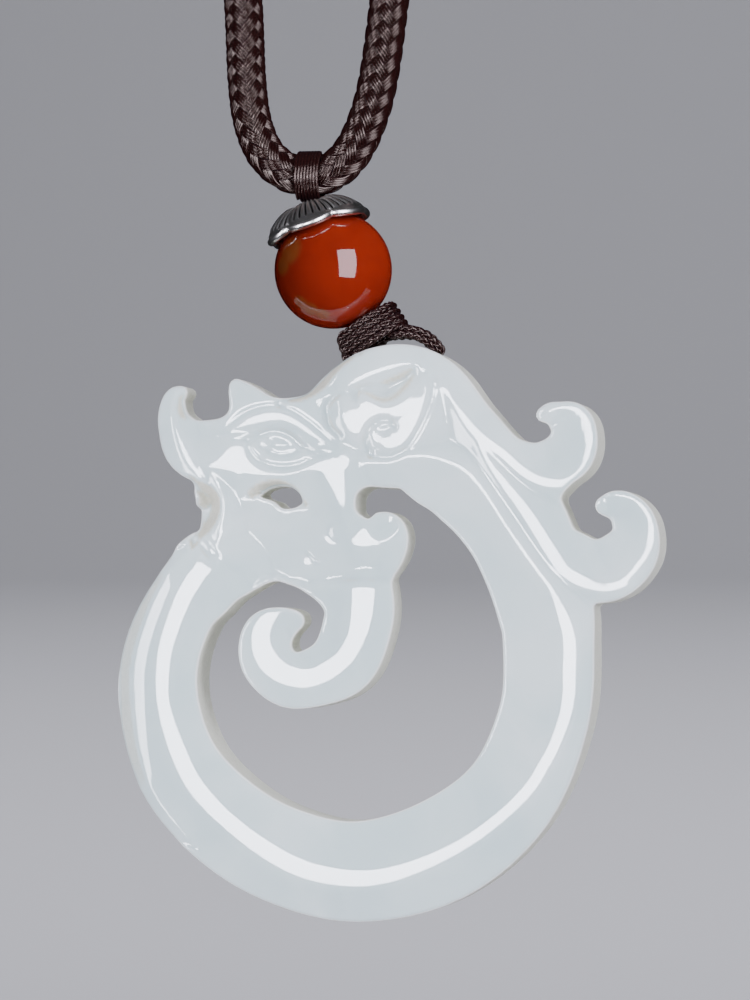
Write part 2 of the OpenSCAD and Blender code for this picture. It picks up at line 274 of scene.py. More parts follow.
# Strokes of the outline. Columns: across, down, half width as a share of half the band
CROWN = (0.619, 0.191, 1.235)
FACE = (0.276, 0.290, 1.44)
BROW_END = (0.397, 0.172, 1.12)
NECK_END = (0.169, 0.384, 0.74)
JAW_END = (0.408, 0.369, 0.99)
BACK = (0.665, 0.235, 1.14)
BAND_WIDTH = 9.3 * MM
STROKES = {
    "ring": [
        NECK_END, (0.094, 0.506, 0.86), (0.078, 0.617, 0.92), (0.116, 0.735, 0.97),
        (0.200, 0.824, 1.01), (0.307, 0.885, 1.045), (0.447, 0.913, 1.07), (0.599, 0.876, 1.11),
        (0.724, 0.781, 1.02), (0.788, 0.642, 0.98), (0.796, 0.513, 0.99), (0.787, 0.452, 1.03),
        (0.756, 0.385, 0.95), (0.711, 0.318, 0.86), BACK, CROWN,
    ],
    "head": [BROW_END, (0.335, 0.209, 1.44), (0.279, 0.226, 1.53), FACE],
    "jaw": [
        FACE, (0.327, 0.322, 1.14), JAW_END, (0.449, 0.443, 0.775), (0.445, 0.496, 0.755),
        (0.423, 0.548, 0.73), (0.381, 0.574, 0.645), (0.322, 0.583, 0.59), (0.282, 0.549, 0.59),
        (0.281, 0.507, 0.54), (0.307, 0.486, 0.365), (0.331, 0.479, 0.215),
    ],
    "lip": [JAW_END, (0.471, 0.363, 0.69), (0.500, 0.330, 0.46), (0.487, 0.303, 0.13)],
    "cheek": [(0.335, 0.235, 1.18), (0.381, 0.278, 0.775)],
    "throat": [(0.160, 0.423, 0.75), (0.191, 0.400, 0.69), (0.243, 0.370, 0.69), (0.272, 0.348, 0.775)],
    "neck": [FACE, (0.199, 0.353, 0.58), NECK_END],
    "snout": [
        (0.215, 0.191, 0.795), (0.143, 0.179, 0.61), (0.109, 0.139, 0.375), (0.103, 0.110, 0.29),
        (0.108, 0.088, 0.21), (0.121, 0.080, 0.13),
    ],
    "horn": [(0.271, 0.148, 0.71), (0.248, 0.104, 0.41), (0.232, 0.082, 0.25), (0.225, 0.071, 0.16)],
    "hump": [
        BROW_END, (0.430, 0.155, 1.225), (0.467, 0.134, 1.41), (0.515, 0.127, 1.53),
        (0.544, 0.130, 1.505), (0.577, 0.151, 1.365), CROWN,
    ],
    "upper_mane": [
        CROWN, (0.702, 0.217, 0.775), (0.767, 0.231, 0.69), (0.807, 0.212, 0.57), (0.835, 0.191, 0.56),
        (0.844, 0.163, 0.495), (0.838, 0.143, 0.46), (0.820, 0.131, 0.32), (0.802, 0.124, 0.23),
        (0.786, 0.127, 0.15),
    ],
    "lower_mane": [
        BACK, (0.739, 0.296, 0.97), (0.798, 0.357, 0.665), (0.835, 0.377, 0.635), (0.871, 0.395, 0.665),
        (0.908, 0.391, 0.68), (0.938, 0.370, 0.625), (0.956, 0.346, 0.49), (0.950, 0.313, 0.47),
        (0.934, 0.289, 0.36), (0.915, 0.283, 0.30), (0.897, 0.284, 0.20),
    ],
}
# Corners of the pierced hole under the eye, on the sheet
PIERCED = [
    (265, 497), (271, 490), (282, 487), (295, 488), (304, 494), (307, 502), (301, 508), (287, 509),
    (279, 502),
]

# The slanted holes for the tie: the hump's row that each mouth lies over and its angle there.
# Where they meet is given as shares of the jade's box.
TIE_HOLES = [(2, 122), (4, 64.5)]
TIE_MEET = (0.505, 0.075)
TIE_OVER = 1.05 * MM

# Ridges of the relief, each with its reach and how softly it joins the others, in mm. Columns:
# across and down on the sheet, height over the middle of the stone in mm, slope to the left of
# the way, slope to its right, and the half width of the flat facet on top in mm
RIDGES = {
    "ring": (11, 0.06, [
        (352, 474, 3.1, 0.3, 0.2, 0.05), (366, 464, 3.3, 0.35, 0.2, 0.12),
        (384, 460, 3.4, 0.4, 0.2, 0.15), (400, 458, 3.45, 0.45, 0.2, 0.15),
        (427, 457, 3.45, 0.5, 0.2, 0.16), (450, 463, 3.45, 0.5, 0.2, 0.2),
        (467, 472, 3.5, 0.45, 0.2, 0.15), (484, 491, 3.5, 0.45, 0.2, 0.08),
        (507, 527, 3.55, 0.42, 0.2, 0.05), (534, 566, 3.6, 0.42, 0.2, 0.08),
        (551, 589, 3.65, 0.42, 0.2, 0.2), (563, 615, 3.7, 0.5, 0.2, 0.55),
        (570, 640, 3.75, 0.6, 0.22, 0.72), (570, 671, 3.8, 0.6, 0.22, 0.75),
        (568, 705, 3.8, 0.6, 0.22, 0.7), (557, 740, 3.8, 0.6, 0.22, 0.62),
        (544, 765, 3.8, 0.56, 0.22, 0.6), (524, 795, 3.8, 0.5, 0.22, 0.6),
        (478, 834, 3.8, 0.42, 0.24, 0.65), (426, 862, 3.8, 0.36, 0.26, 0.78),
        (373, 877, 3.8, 0.34, 0.27, 0.95), (320, 873, 3.8, 0.34, 0.27, 1.0),
        (278, 856, 3.8, 0.32, 0.28, 1.0), (233, 824, 3.8, 0.22, 0.28, 0.88),
        (198, 788, 3.8, 0.18, 0.28, 0.85), (177, 747, 3.8, 0.19, 0.28, 0.85),
        (164, 705, 3.8, 0.2, 0.28, 0.7), (163, 671, 3.8, 0.2, 0.28, 0.74),
        (168, 640, 3.78, 0.2, 0.28, 0.78), (182, 602, 3.75, 0.2, 0.28, 0.84),
        (195, 579, 3.72, 0.22, 0.28, 0.86), (207, 564, 3.7, 0.3, 0.3, 0.88),
        (213, 556, 3.4, 0.3, 0.3, 0.88),
    ]),
    "jowl": (7, 0.1, [
        (212, 560, 3.3, 0.42, 0.42, 0.02), (218, 542, 3.42, 0.42, 0.42, 0.02),
        (224, 522, 3.44, 0.42, 0.42, 0.02), (225, 503, 3.44, 0.42, 0.42, 0.02),
        (220, 488, 3.42, 0.42, 0.42, 0.02), (211, 472, 3.36, 0.42, 0.42, 0.02),
    ]),
    "upper_mane": (9, 0.06, [
        (440, 380, 3.3, 0.3, 0.5, 0.02), (447, 392, 3.35, 0.3, 0.45, 0.12),
        (457, 409, 3.4, 0.3, 0.45, 0.32), (468, 425, 3.4, 0.3, 0.45, 0.48),
        (480, 438, 3.4, 0.32, 0.42, 0.52), (503, 456, 3.4, 0.32, 0.38, 0.5),
        (518, 470, 3.35, 0.34, 0.38, 0.52), (534, 481, 3.3, 0.34, 0.4, 0.55),
        (548, 485, 3.25, 0.34, 0.4, 0.58), (563, 485, 3.2, 0.34, 0.42, 0.55),
        (573, 480, 3.2, 0.3, 0.45, 0.52), (581, 470, 3.16, 0.3, 0.5, 0.5),
    ]),
    "upper_hook": (6, 0.02, [
        (573, 480, 3.2, 0.12, 0.3, 0.52), (581, 470, 3.16, 0.2, 0.5, 0.5),
        (586, 458, 3.13, 0.19, 0.5, 0.5), (589, 445, 3.1, 0.19, 0.5, 0.52),
        (589.5, 433, 3.08, 0.19, 0.5, 0.52), (587, 423, 3.06, 0.19, 0.5, 0.5),
        (582, 415.5, 3.04, 0.19, 0.5, 0.42), (575, 411.5, 3.02, 0.2, 0.45, 0.34),
        (566, 409.5, 3.0, 0.22, 0.45, 0.28), (556, 411, 2.96, 0.25, 0.4, 0.2),
        (547, 415, 2.88, 0.3, 0.3, 0.05),
    ]),
    "upper_hook_inside": (10, 0.06, [
        (580, 408, 2.6, 0.5, 0.19, 0.05), (580, 416, 2.98, 0.5, 0.19, 0.05),
        (580, 440, 3.0, 0.5, 0.19, 0.05), (578, 462, 3.0, 0.5, 0.19, 0.05),
        (576, 472, 2.9, 0.5, 0.19, 0.05),
    ]),
    "lower_mane": (9, 0.06, [
        (474, 436, 3.35, 0.3, 0.5, 0.1), (479, 446, 3.38, 0.3, 0.45, 0.2),
        (490, 466, 3.4, 0.3, 0.45, 0.34), (507, 489, 3.4, 0.32, 0.4, 0.48),
        (523, 510, 3.4, 0.32, 0.38, 0.58), (542, 539, 3.4, 0.32, 0.38, 0.66),
        (559, 566, 3.35, 0.32, 0.38, 0.7), (570, 577, 3.3, 0.32, 0.4, 0.7),
        (583, 584, 3.3, 0.32, 0.42, 0.68), (597, 588, 3.25, 0.32, 0.45, 0.62),
        (610, 588, 3.2, 0.32, 0.48, 0.56), (622, 583, 3.2, 0.32, 0.5, 0.5),
        (633, 571, 3.15, 0.3, 0.5, 0.46), (643, 558, 3.12, 0.3, 0.5, 0.44),
    ]),
    "lower_hook": (7, 0.02, [
        (622, 583, 3.2, 0.12, 0.3, 0.5), (633, 571, 3.15, 0.2, 0.5, 0.46),
        (643, 558, 3.12, 0.19, 0.5, 0.44), (648.5, 546, 3.1, 0.19, 0.5, 0.42),
        (650.5, 534, 3.08, 0.19, 0.5, 0.4), (649.5, 522, 3.06, 0.19, 0.5, 0.38),
        (645, 512, 3.04, 0.19, 0.5, 0.34), (638.5, 504, 3.02, 0.19, 0.45, 0.28),
        (628, 499.5, 2.98, 0.22, 0.4, 0.18), (612, 497, 2.85, 0.3, 0.3, 0.05),
    ]),
    "lower_hook_inside": (10, 0.03, [
        (632, 510, 2.72, 0.5, 0.19, 0.02), (634, 520, 2.81, 0.5, 0.19, 0.02),
        (634, 535, 2.82, 0.5, 0.19, 0.02), (631, 552, 2.82, 0.5, 0.19, 0.02),
        (626, 562, 2.75, 0.5, 0.19, 0.02),
    ]),
    "snout": (7, 0.06, [
        (185, 390, 2.3, 0.42, 0.42, 0.05), (175, 393, 2.6, 0.44, 0.42, 0.08),
        (171, 406, 2.85, 0.46, 0.42, 0.05), (173, 420, 3.12, 0.46, 0.46, 0.2),
        (178, 434, 3.2, 0.46, 0.46, 0.42), (184, 450, 3.26, 0.46, 0.42, 0.5),
        (191, 464, 3.3, 0.46, 0.42, 0.42), (201, 479, 3.32, 0.46, 0.46, 0.03),
    ]),
    "cheek": (16, 0.12, [
        (208, 466, 3.42, 0.25, 0.22, 0.1), (222, 463, 3.45, 0.25, 0.22, 0.7),
        (238, 459, 3.46, 0.25, 0.22, 1.6), (250, 463, 3.46, 0.25, 0.19, 1.3),
        (262, 471, 3.45, 0.25, 0.175, 0.4), (285, 473, 3.44, 0.25, 0.175, 0.08),
        (304, 468, 3.44, 0.25, 0.19, 0.25), (320, 464, 3.45, 0.25, 0.22, 0.75),
        (343, 462, 3.45, 0.25, 0.22, 0.8),
    ]),
    "nose": (12, 0.1, [
        (332, 466, 3.46, 0.2, 0.2, 0.9), (336, 476, 3.45, 0.2, 0.22, 0.95),
        (340, 490, 3.44, 0.2, 0.22, 0.6), (343, 503, 3.4, 0.2, 0.22, 0.32),
        (344, 516, 3.28, 0.2, 0.22, 0.02),
    ]),
    "forehead": (8, 0.1, [
        (222, 427, 3.1, 0.16, 0.3, 0.05), (242, 411, 3.25, 0.16, 0.3, 0.12),
        (270, 404, 3.3, 0.16, 0.3, 0.14), (292, 407, 3.3, 0.16, 0.3, 0.12),
        (313, 420, 3.25, 0.16, 0.3, 0.1), (334, 442, 3.15, 0.16, 0.3, 0.05),
    ]),
    "brow": (5, 0.06, [
        (231, 429, 3.25, 0.2, 0.25, 0.1), (248, 422, 3.38, 0.2, 0.25, 0.4),
        (265, 417, 3.42, 0.2, 0.25, 0.5), (283, 416, 3.42, 0.2, 0.25, 0.5),
        (299, 422, 3.4, 0.2, 0.25, 0.45), (313, 433, 3.36, 0.2, 0.25, 0.35),
        (330, 447, 3.25, 0.2, 0.25, 0.1),
    ]),
    "horn": (4, 0.2, [
        (236, 386, 1.9, 0.4, 0.4, 0.05), (240, 400, 2.4, 0.35, 0.45, 0.1), (236, 412, 2.9, 0.2, 0.2, 0.1),
    ]),
    "ear_rim": (8, 0.06, [
        (338, 400, 3.2, 0.2, 0.2, 0.05), (348, 390, 3.4, 0.2, 0.4, 0.15), (360, 381, 3.5, 0.2, 0.45, 0.3),
        (378, 373, 3.55, 0.2, 0.45, 0.34), (396, 368, 3.55, 0.2, 0.45, 0.3),
        (410, 367, 3.5, 0.2, 0.4, 0.12), (434, 376, 3.4, 0.2, 0.3, 0.03),
    ]),
    "ear": (6, 0.06, [
        (343, 404, 3.6, 0.6, 0.3, 0.3), (350, 413, 3.68, 0.55, 0.3, 0.9), (360, 424, 3.7, 0.5, 0.35, 1.2),
        (368, 412, 3.7, 0.3, 0.35, 1.1), (385, 415, 3.7, 0.3, 0.35, 0.7), (402, 411, 3.7, 0.3, 0.4, 0.7),
        (418, 398, 3.65, 0.4, 0.4, 0.8), (427, 381, 3.5, 0.4, 0.4, 0.35),
    ]),
    "ear_lobe": (5, 0.06, [
        (380, 440, 3.45, 0.4, 0.4, 0.6), (392, 443, 3.55, 0.4, 0.4, 0.8),
        (405, 434, 3.6, 0.35, 0.35, 1.2), (417, 415, 3.65, 0.35, 0.35, 1.1),
        (425, 393, 3.6, 0.35, 0.35, 0.7),
    ]),
    "temple": (6, 0.3, [
        (322, 400, 3.1, 0.25, 0.25, 0.02), (330, 425, 2.75, 0.25, 0.25, 0.02),
        (350, 450, 2.4, 0.25, 0.25, 0.02),
    ]),
    "nape": (9, 0.3, [
        (444, 392, 3.35, 0.2, 0.2, 0.02), (450, 420, 3.0, 0.2, 0.2, 0.02),
        (440, 448, 2.6, 0.2, 0.2, 0.02),
    ]),
    "lip": (10, 0.12, [
        (344, 525, 2.72, 0.2, 0.24, 0.2), (352, 531, 2.76, 0.2, 0.24, 0.7),
        (361, 538, 2.78, 0.2, 0.24, 1.0), (369, 542, 2.76, 0.2, 0.24, 0.6),
        (381, 543, 2.7, 0.2, 0.24, 0.1), (395, 534, 2.6, 0.19, 0.22, 0.02),
        (398, 522, 2.5, 0.19, 0.22, 0.02), (390, 514, 2.35, 0.2, 0.2, 0.02),
    ]),
    "beard": (11, 0.04, [
        (363, 579, 2.5, 0.22, 0.22, 0.02), (363, 583, 2.68, 0.22, 0.2, 0.7),
        (363, 588, 2.76, 0.22, 0.2, 1.15), (363, 600, 2.78, 0.22, 0.2, 1.15),
        (361, 620, 2.82, 0.22, 0.2, 1.05), (355, 641, 2.86, 0.22, 0.22, 0.9),
        (343, 659, 2.9, 0.22, 0.22, 0.85), (324, 673, 2.92, 0.22, 0.22, 0.95),
    ]),
    "scroll": (7, 0.02, [
        (355, 641, 2.86, 0.22, 0.22, 0.9), (343, 659, 2.9, 0.2, 0.3, 0.85),
        (324, 673, 2.92, 0.18, 0.4, 0.95), (302, 678, 2.94, 0.18, 0.42, 1.05),
        (280, 671, 2.95, 0.18, 0.42, 1.1), (265, 655, 2.95, 0.18, 0.42, 1.1),
        (261, 636, 2.95, 0.18, 0.42, 1.0), (268, 620, 2.93, 0.2, 0.42, 0.8),
        (279, 611, 2.88, 0.25, 0.45, 0.45), (294, 607, 2.7, 0.4, 0.4, 0.1),
    ]),
}

# Cuts in the relief. Columns: across and down on the sheet, half width and depth in mm. A step
# and a bevel cut only the left side of the way, and a bevel's last column is how far it reaches.
CUTS = [
    ("vee", "brow line", [
        (224, 430, 0.2, 0.05), (242, 415, 0.35, 0.22), (259, 408, 0.35, 0.22), (276, 407, 0.35, 0.22),
        (293, 412, 0.35, 0.22), (311, 424, 0.35, 0.22), (330, 441, 0.3, 0.18), (340, 450, 0.2, 0.05),
    ]),
    ("vee", "upper lid", [
        (230, 441, 0.2, 0.1), (249, 440, 0.45, 0.3), (262, 434, 0.5, 0.35), (275, 431, 0.5, 0.35),
        (290, 436, 0.5, 0.35), (301, 446, 0.45, 0.3), (318, 455, 0.4, 0.25), (336, 454, 0.2, 0.1),
    ]),
    ("vee", "lower lid", [
        (247, 441, 0.3, 0.15), (253, 455, 0.45, 0.3), (266, 465, 0.5, 0.3), (284, 468, 0.5, 0.3),
        (299, 466, 0.45, 0.3), (310, 461, 0.4, 0.25), (322, 457, 0.25, 0.1),
    ]),
    ("vee", "eyeball", [
        (257, 441, 0.25, 0.15), (265, 450, 0.35, 0.25), (280, 456, 0.35, 0.25), (295, 453, 0.35, 0.2),
        (303, 448, 0.25, 0.1),
    ]),
    ("vee", "neck fold", [(197, 541, 0.3, 0.15), (206, 551, 0.4, 0.3), (216, 565, 0.3, 0.15)]),
    ("vee", "second neck fold", [(203, 538, 0.2, 0.1), (212, 549, 0.3, 0.2), (220, 560, 0.2, 0.1)]),
    ("bevel", "jowl edge", [
        (199, 541, 0.5, 0.4, 1.0), (209, 531, 1.2, 1.7, 2.5), (217, 519, 1.4, 2.1, 3.0),
        (220, 504, 1.4, 2.1, 3.0), (216, 492, 1.2, 1.8, 2.5), (206, 484, 0.8, 1.0, 1.5),
        (197, 480, 0.5, 0.3, 1.0),
    ]),
    ("bevel", "strip's outer side", [
        (156, 784, 3.0, 0.0, 3.0), (150, 766, 3.0, 0.38, 3.6), (146, 740, 3.0, 0.42, 3.6),
        (143.5, 700, 3.0, 0.42, 3.6), (143.5, 671, 3.0, 0.42, 3.6), (150, 640, 3.0, 0.42, 3.6),
        (165, 600, 3.0, 0.42, 3.6), (171, 588, 3.0, 0.3, 3.6), (175, 581, 3.0, 0.0, 3.0),
    ]),
    ("bevel", "shoulder of the limb", [
        (194, 844, 3.0, 0.6, 0.6), (170, 817, 3.0, 1.4, 2.0), (150, 788, 3.0, 1.7, 3.0),
        (136, 746, 3.0, 1.8, 3.0), (130, 700, 3.0, 1.8, 3.0), (129.5, 671, 3.0, 1.8, 3.0),
        (136, 640, 3.0, 1.8, 3.0), (151, 600, 3.0, 1.8, 3.0), (164, 579, 3.0, 1.7, 2.4),
        (180, 560, 3.0, 1.3, 1.4), (194, 546, 3.0, 0.7, 0.5),
    ]),
    ("vee", "jowl fold", [
        (216, 484, 0.2, 0.05), (227, 494, 0.35, 0.16), (229, 510, 0.35, 0.16), (224, 527, 0.35, 0.14),
        (216, 541, 0.2, 0.05),
    ]),
    ("step", "jaw line", [
        (310, 573, 0.6, 0.02), (330, 577, 0.8, 0.05), (350, 579, 0.8, 0.06), (370, 579, 0.8, 0.07),
        (392, 577, 0.6, 0.04),
    ]),
    ("vee", "ear curl", [
        (371, 457, 0.4, 0.3), (366, 446, 0.5, 0.36), (370, 431, 0.5, 0.36), (379, 423, 0.5, 0.36),
        (391, 422, 0.4, 0.32), (395, 429, 0.35, 0.45),
    ]),
    ("vee", "ear back", [
        (434, 388, 0.3, 0.25), (431, 406, 0.35, 0.3), (421, 430, 0.35, 0.3), (407, 450, 0.35, 0.3),
        (392, 459, 0.35, 0.3), (371, 458, 0.4, 0.3),
    ]),
    ("vee", "ear front", [
        (346, 392, 0.3, 0.2), (331, 402, 0.45, 0.35), (326, 414, 0.45, 0.35), (330, 427, 0.45, 0.35),
        (340, 437, 0.4, 0.3),
    ]),
    ("hollow", "ear leaf", [
        (350, 392, 0.3, 0.1), (368, 391, 0.6, 0.4), (385, 394, 1.1, 0.65), (400, 386, 0.9, 0.6),
        (413, 374, 0.4, 0.3), (418, 368, 0.2, 0.05),
    ]),
    ("hollow", "snout curl", [(181, 399, 0.5, 0.3), (183, 410, 0.7, 0.4), (187, 419, 0.4, 0.1)]),
    ("hollow", "nostril", [
        (331, 527, 0.3, 0.05), (328, 533, 0.35, 0.12), (330, 539, 0.35, 0.12), (337, 542, 0.3, 0.05),
    ]),
    ("bevel", "hole's edge", [
        (303, 499, 0.4, 0.5, 0.8), (298, 490, 0.5, 1.1, 0.9), (289, 484, 0.6, 1.5, 1.1),
        (277, 481, 0.6, 1.6, 1.3), (263, 483, 0.6, 1.6, 1.35), (253, 488, 0.5, 1.2, 0.9),
        (244, 496, 0.2, 0.2, 0.2),
    ]),
    ("bevel", "brow's edge", [
        (286, 406, 0.5, 0.3, 1.0), (303, 402, 0.8, 1.2, 1.6), (317, 395, 1.0, 1.7, 2.2),
        (327, 386, 1.0, 1.8, 2.4), (336, 375, 1.0, 1.8, 2.2), (346, 366, 0.8, 1.4, 1.6),
        (357, 359, 0.4, 0.3, 1.0),
    ]),
    ("step", "mouth", [
        (320, 565, 0.2, 0.0), (314, 560, 0.8, 0.16), (308, 555, 1.0, 0.2), (302, 551, 0.3, 0.03),
    ]),
]
# Height of the stone where no ridge reaches
FLOOR = 0.8 * MM
# The carving is placed as it is seen from a little to the right, so it moves over by this much
RELIEF_SHIFT = 0.55 * MM
# How softly a facet turns into its slopes
FACET_EDGE = 0.1 * MM
# A ridge falls away by this much over the last part of its reach
RIDGE_FALL = 2.5 * MM
RIDGE_HELD = 0.7
# Height that counts as no ridge, and how far from its line a cut is looked for
NO_RIDGE = -9 * MM
CUT_REACH = 3 * MM
# How softly two strokes of the outline join, and how far out of them it is worked out
STROKE_BLEND = 0.5 * MM
STROKE_REACH = 1.5 * MM
OUTLINE_REACH = 3 * MM
# Radius of the blur on the outline and on the relief
OUTLINE_BLUR = 0.2 * MM
RELIEF_BLUR = 0.11 * MM


class Sheet:
    """The sheet that the carving is worked out on: a grid over the jade's box."""

    MARGIN = 0.7 * MM

    def __init__(self, cell):
        low, high = (Vector(corner) for corner in JADE_BOX)
        left, right, top, foot = SOLID_SHARES
        self.width = (high.x - low.x) / (right - left)
        self.height = (high.z - low.z) / (foot - top)
        self.left = low.x - left * self.width
        self.top = high.z + top * self.height
        self.cell = cell
        self.across = np.arange(-self.MARGIN, self.width + self.MARGIN, cell)
        self.down = np.arange(-self.MARGIN, self.height + self.MARGIN, cell)
        self.u, self.v = np.meshgrid(self.across, self.down)

    def places(self, rows):
        """Rows of a table with their first two columns turned from sheet units to metres."""
        rows = np.array(rows, float)
        rows[:, 0] = (rows[:, 0] - SHEET_LEFT) * self.width / SHEET_ACROSS
        rows[:, 1] = (rows[:, 1] - SHEET_TOP) * self.height / SHEET_DOWN
        return rows

    def point(self, across, down):
        """The place in the frame of a place on the sheet, as x and z."""
        u, v = self.places([(across, down)])[0]
        return self.left + u, self.top - v

    def window(self, low, high):
        """The cells between two corners."""
        i0, i1 = np.searchsorted(self.across, (low[0], high[0]))
        j0, j1 = np.searchsorted(self.down, (low[1], high[1]))
        return slice(j0, j1), slice(i0, i1)

    def along(self, line, reach, tapered=False):
        """Distance of each cell from a line, its side of the way, and the line's other columns."""
        best = np.full(self.u.shape, FAR)
        side = np.zeros(self.u.shape)
        columns = np.zeros(self.u.shape + (line.shape[1] - 2,))
        for a, b in zip(line[:-1], line[1:]):
            far = reach + (max(a[2], b[2]) if tapered else 0)
            w = self.window(np.minimum(a[:2], b[:2]) - far, np.maximum(a[:2], b[:2]) + far)
            du, dv = self.u[w] - a[0], self.v[w] - a[1]
            eu, ev = b[:2] - a[:2]
            t = np.clip((du * eu + dv * ev) / (eu * eu + ev * ev), 0, 1)
            pu, pv = du - t * eu, dv - t * ev
            row = a[2:] + (b[2:] - a[2:]) * t[..., None]
            distance = np.hypot(pu, pv) - (row[..., 0] if tapered else 0)
            near = distance < best[w]
            best[w] = np.where(near, distance, best[w])
            side[w] = np.where(near, np.sign(pu * ev - pv * eu), side[w])
            columns[w] = np.where(near[..., None], row, columns[w])
        return best, side, columns

    def sample(self, field, u, v):
        """A field's values between its cells."""
        i = (np.asarray(u) - self.across[0]) / self.cell
        j = (np.asarray(v) - self.down[0]) / self.cell
        i0 = np.clip(i.astype(int), 0, len(self.across) - 2)
        j0 = np.clip(j.astype(int), 0, len(self.down) - 2)
        a, b = i - i0, j - j0
        return ((field[j0, i0] * (1 - a) + field[j0, i0 + 1] * a) * (1 - b)
                + (field[j0 + 1, i0] * (1 - a) + field[j0 + 1, i0 + 1] * a) * b)


def outline_field(sheet):
    """Distance out of the jade's outline, without its pierced hole."""
    field = np.full(sheet.u.shape, FAR)
    for rows in STROKES.values():
        rows = np.array(rows)
        rows = np.column_stack([rows[:, 0] * sheet.width, rows[:, 1] * sheet.height,
                                rows[:, 2] * BAND_WIDTH / 2])
        distance, _, _ = sheet.along(smooth_curve(rows, 6), STROKE_REACH, tapered=True)
        lap = np.clip(STROKE_BLEND - np.abs(field - distance), 0, None) / STROKE_BLEND
        field = np.minimum(field, distance) - lap ** 2 * STROKE_BLEND / 4
    return blur(np.minimum(field, OUTLINE_REACH), OUTLINE_BLUR / sheet.cell)


def hole_field(sheet):
    """Distance out of the pierced hole."""
    corners = smooth_curve(sheet.places(PIERCED), 3, closed=True)
    best = np.full(sheet.u.shape, FAR)
    inside = np.zeros(sheet.u.shape, bool)
    for a, b in zip(corners, np.roll(corners, -1, 0)):
        e = b - a
        du, dv = sheet.u - a[0], sheet.v - a[1]
        t = np.clip((du * e[0] + dv * e[1]) / (e @ e), 0, 1)
        best = np.minimum(best, np.hypot(du - t * e[0], dv - t * e[1]))
        crossed = (a[1] > sheet.v) != (b[1] > sheet.v)
        inside ^= crossed & (sheet.u < a[0] + (sheet.v - a[1]) * e[0] / (e[1] or 1e-12))
    return np.where(inside, -best, best)


def edge_points(sheet, field):
    """The places where the outline crosses the lines of the grid."""
    points = []
    for axis in (0, 1):
        a = field[:-1] if axis == 0 else field[:, :-1]
        b = field[1:] if axis == 0 else field[:, 1:]
        u = sheet.u[:-1] if axis == 0 else sheet.u[:, :-1]
        v = sheet.v[:-1] if axis == 0 else sheet.v[:, :-1]
        crossed = (a < 0) != (b < 0)
        t = a[crossed] / (a[crossed] - b[crossed]) * sheet.cell
        points.append(np.column_stack([u[crossed] + t * axis, v[crossed] + t * (1 - axis)]))
    return np.vstack(points)


def distance_to(points, places):
    """Distance of each place from its nearest point, worked out in blocks of places."""
    out = np.empty(len(places))
    block = 4000
    for i in range(0, len(places), block):
        ways = places[i:i + block, None] - points[None]
        out[i:i + block] = np.sqrt((ways ** 2).sum(2).min(1))
    return out


def smooth_max(a, b, blend):
    """The higher of two fields, with a soft join where they are alike."""
    h = np.clip(0.5 + 0.5 * (a - b) / blend, 0, 1)
    return b + (a - b) * h + blend * h * (1 - h)


def relief_field(sheet):
    """Height of the carved faces over the middle of the stone, without the rim's rounding."""
    height = np.full(sheet.u.shape, FLOOR)
    for reach, blend, rows in RIDGES.values():
        reach = reach * MM
        line = sheet.places(rows)
        line[:, 0] += RELIEF_SHIFT
        line[:, [2, 5]] *= MM
        for end in (0, -1):
            line[end, 3:5] = line[end, 3:5].mean()
        distance, side, columns = sheet.along(smooth_curve(line, 4), reach)
        top, left, right, flat = (columns[..., k] for k in range(4))
        slope = np.where(side >= 0, left, right)
        away = distance - flat
        ridge = top - slope * 0.5 * (away + np.sqrt(away ** 2 + FACET_EDGE ** 2))
        fade = np.clip((distance / reach - RIDGE_HELD) / (1 - RIDGE_HELD), 0, 1)
        ridge = np.where(distance < reach, ridge - RIDGE_FALL * fade ** 2, NO_RIDGE)
        height = smooth_max(height, ridge, blend * MM)
    for kind, _, rows in CUTS:
        line = sheet.places(rows)
        line[:, 0] += RELIEF_SHIFT
        line[:, 2:] *= MM
        distance, side, columns = sheet.along(smooth_curve(line, 4), CUT_REACH)
        half, depth = columns[..., 0], columns[..., 1]
        share = distance / np.maximum(half, 1e-9)
        q = np.clip(1 - share, 0, 1)
        if kind == "vee":
            cut = depth * q
        elif kind == "hollow":
            cut = depth * (1 - (1 - q) ** 2)
        elif kind == "step":
            cut = np.where(side > 0, depth * q, 0)
        else:
            cut = np.where((side > 0) & (distance < columns[..., 2]), depth * np.clip(share, 0, 1), 0)
        height = height - cut
    return blur(height, RELIEF_BLUR / sheet.cell)


def quarter_round(distance, radius):
    """How far a rounded rim has fallen at a distance inside the edge."""
    x = np.clip(distance / radius, 0, 1)
    return radius * (1 - np.sqrt(1 - (1 - x) ** 2))


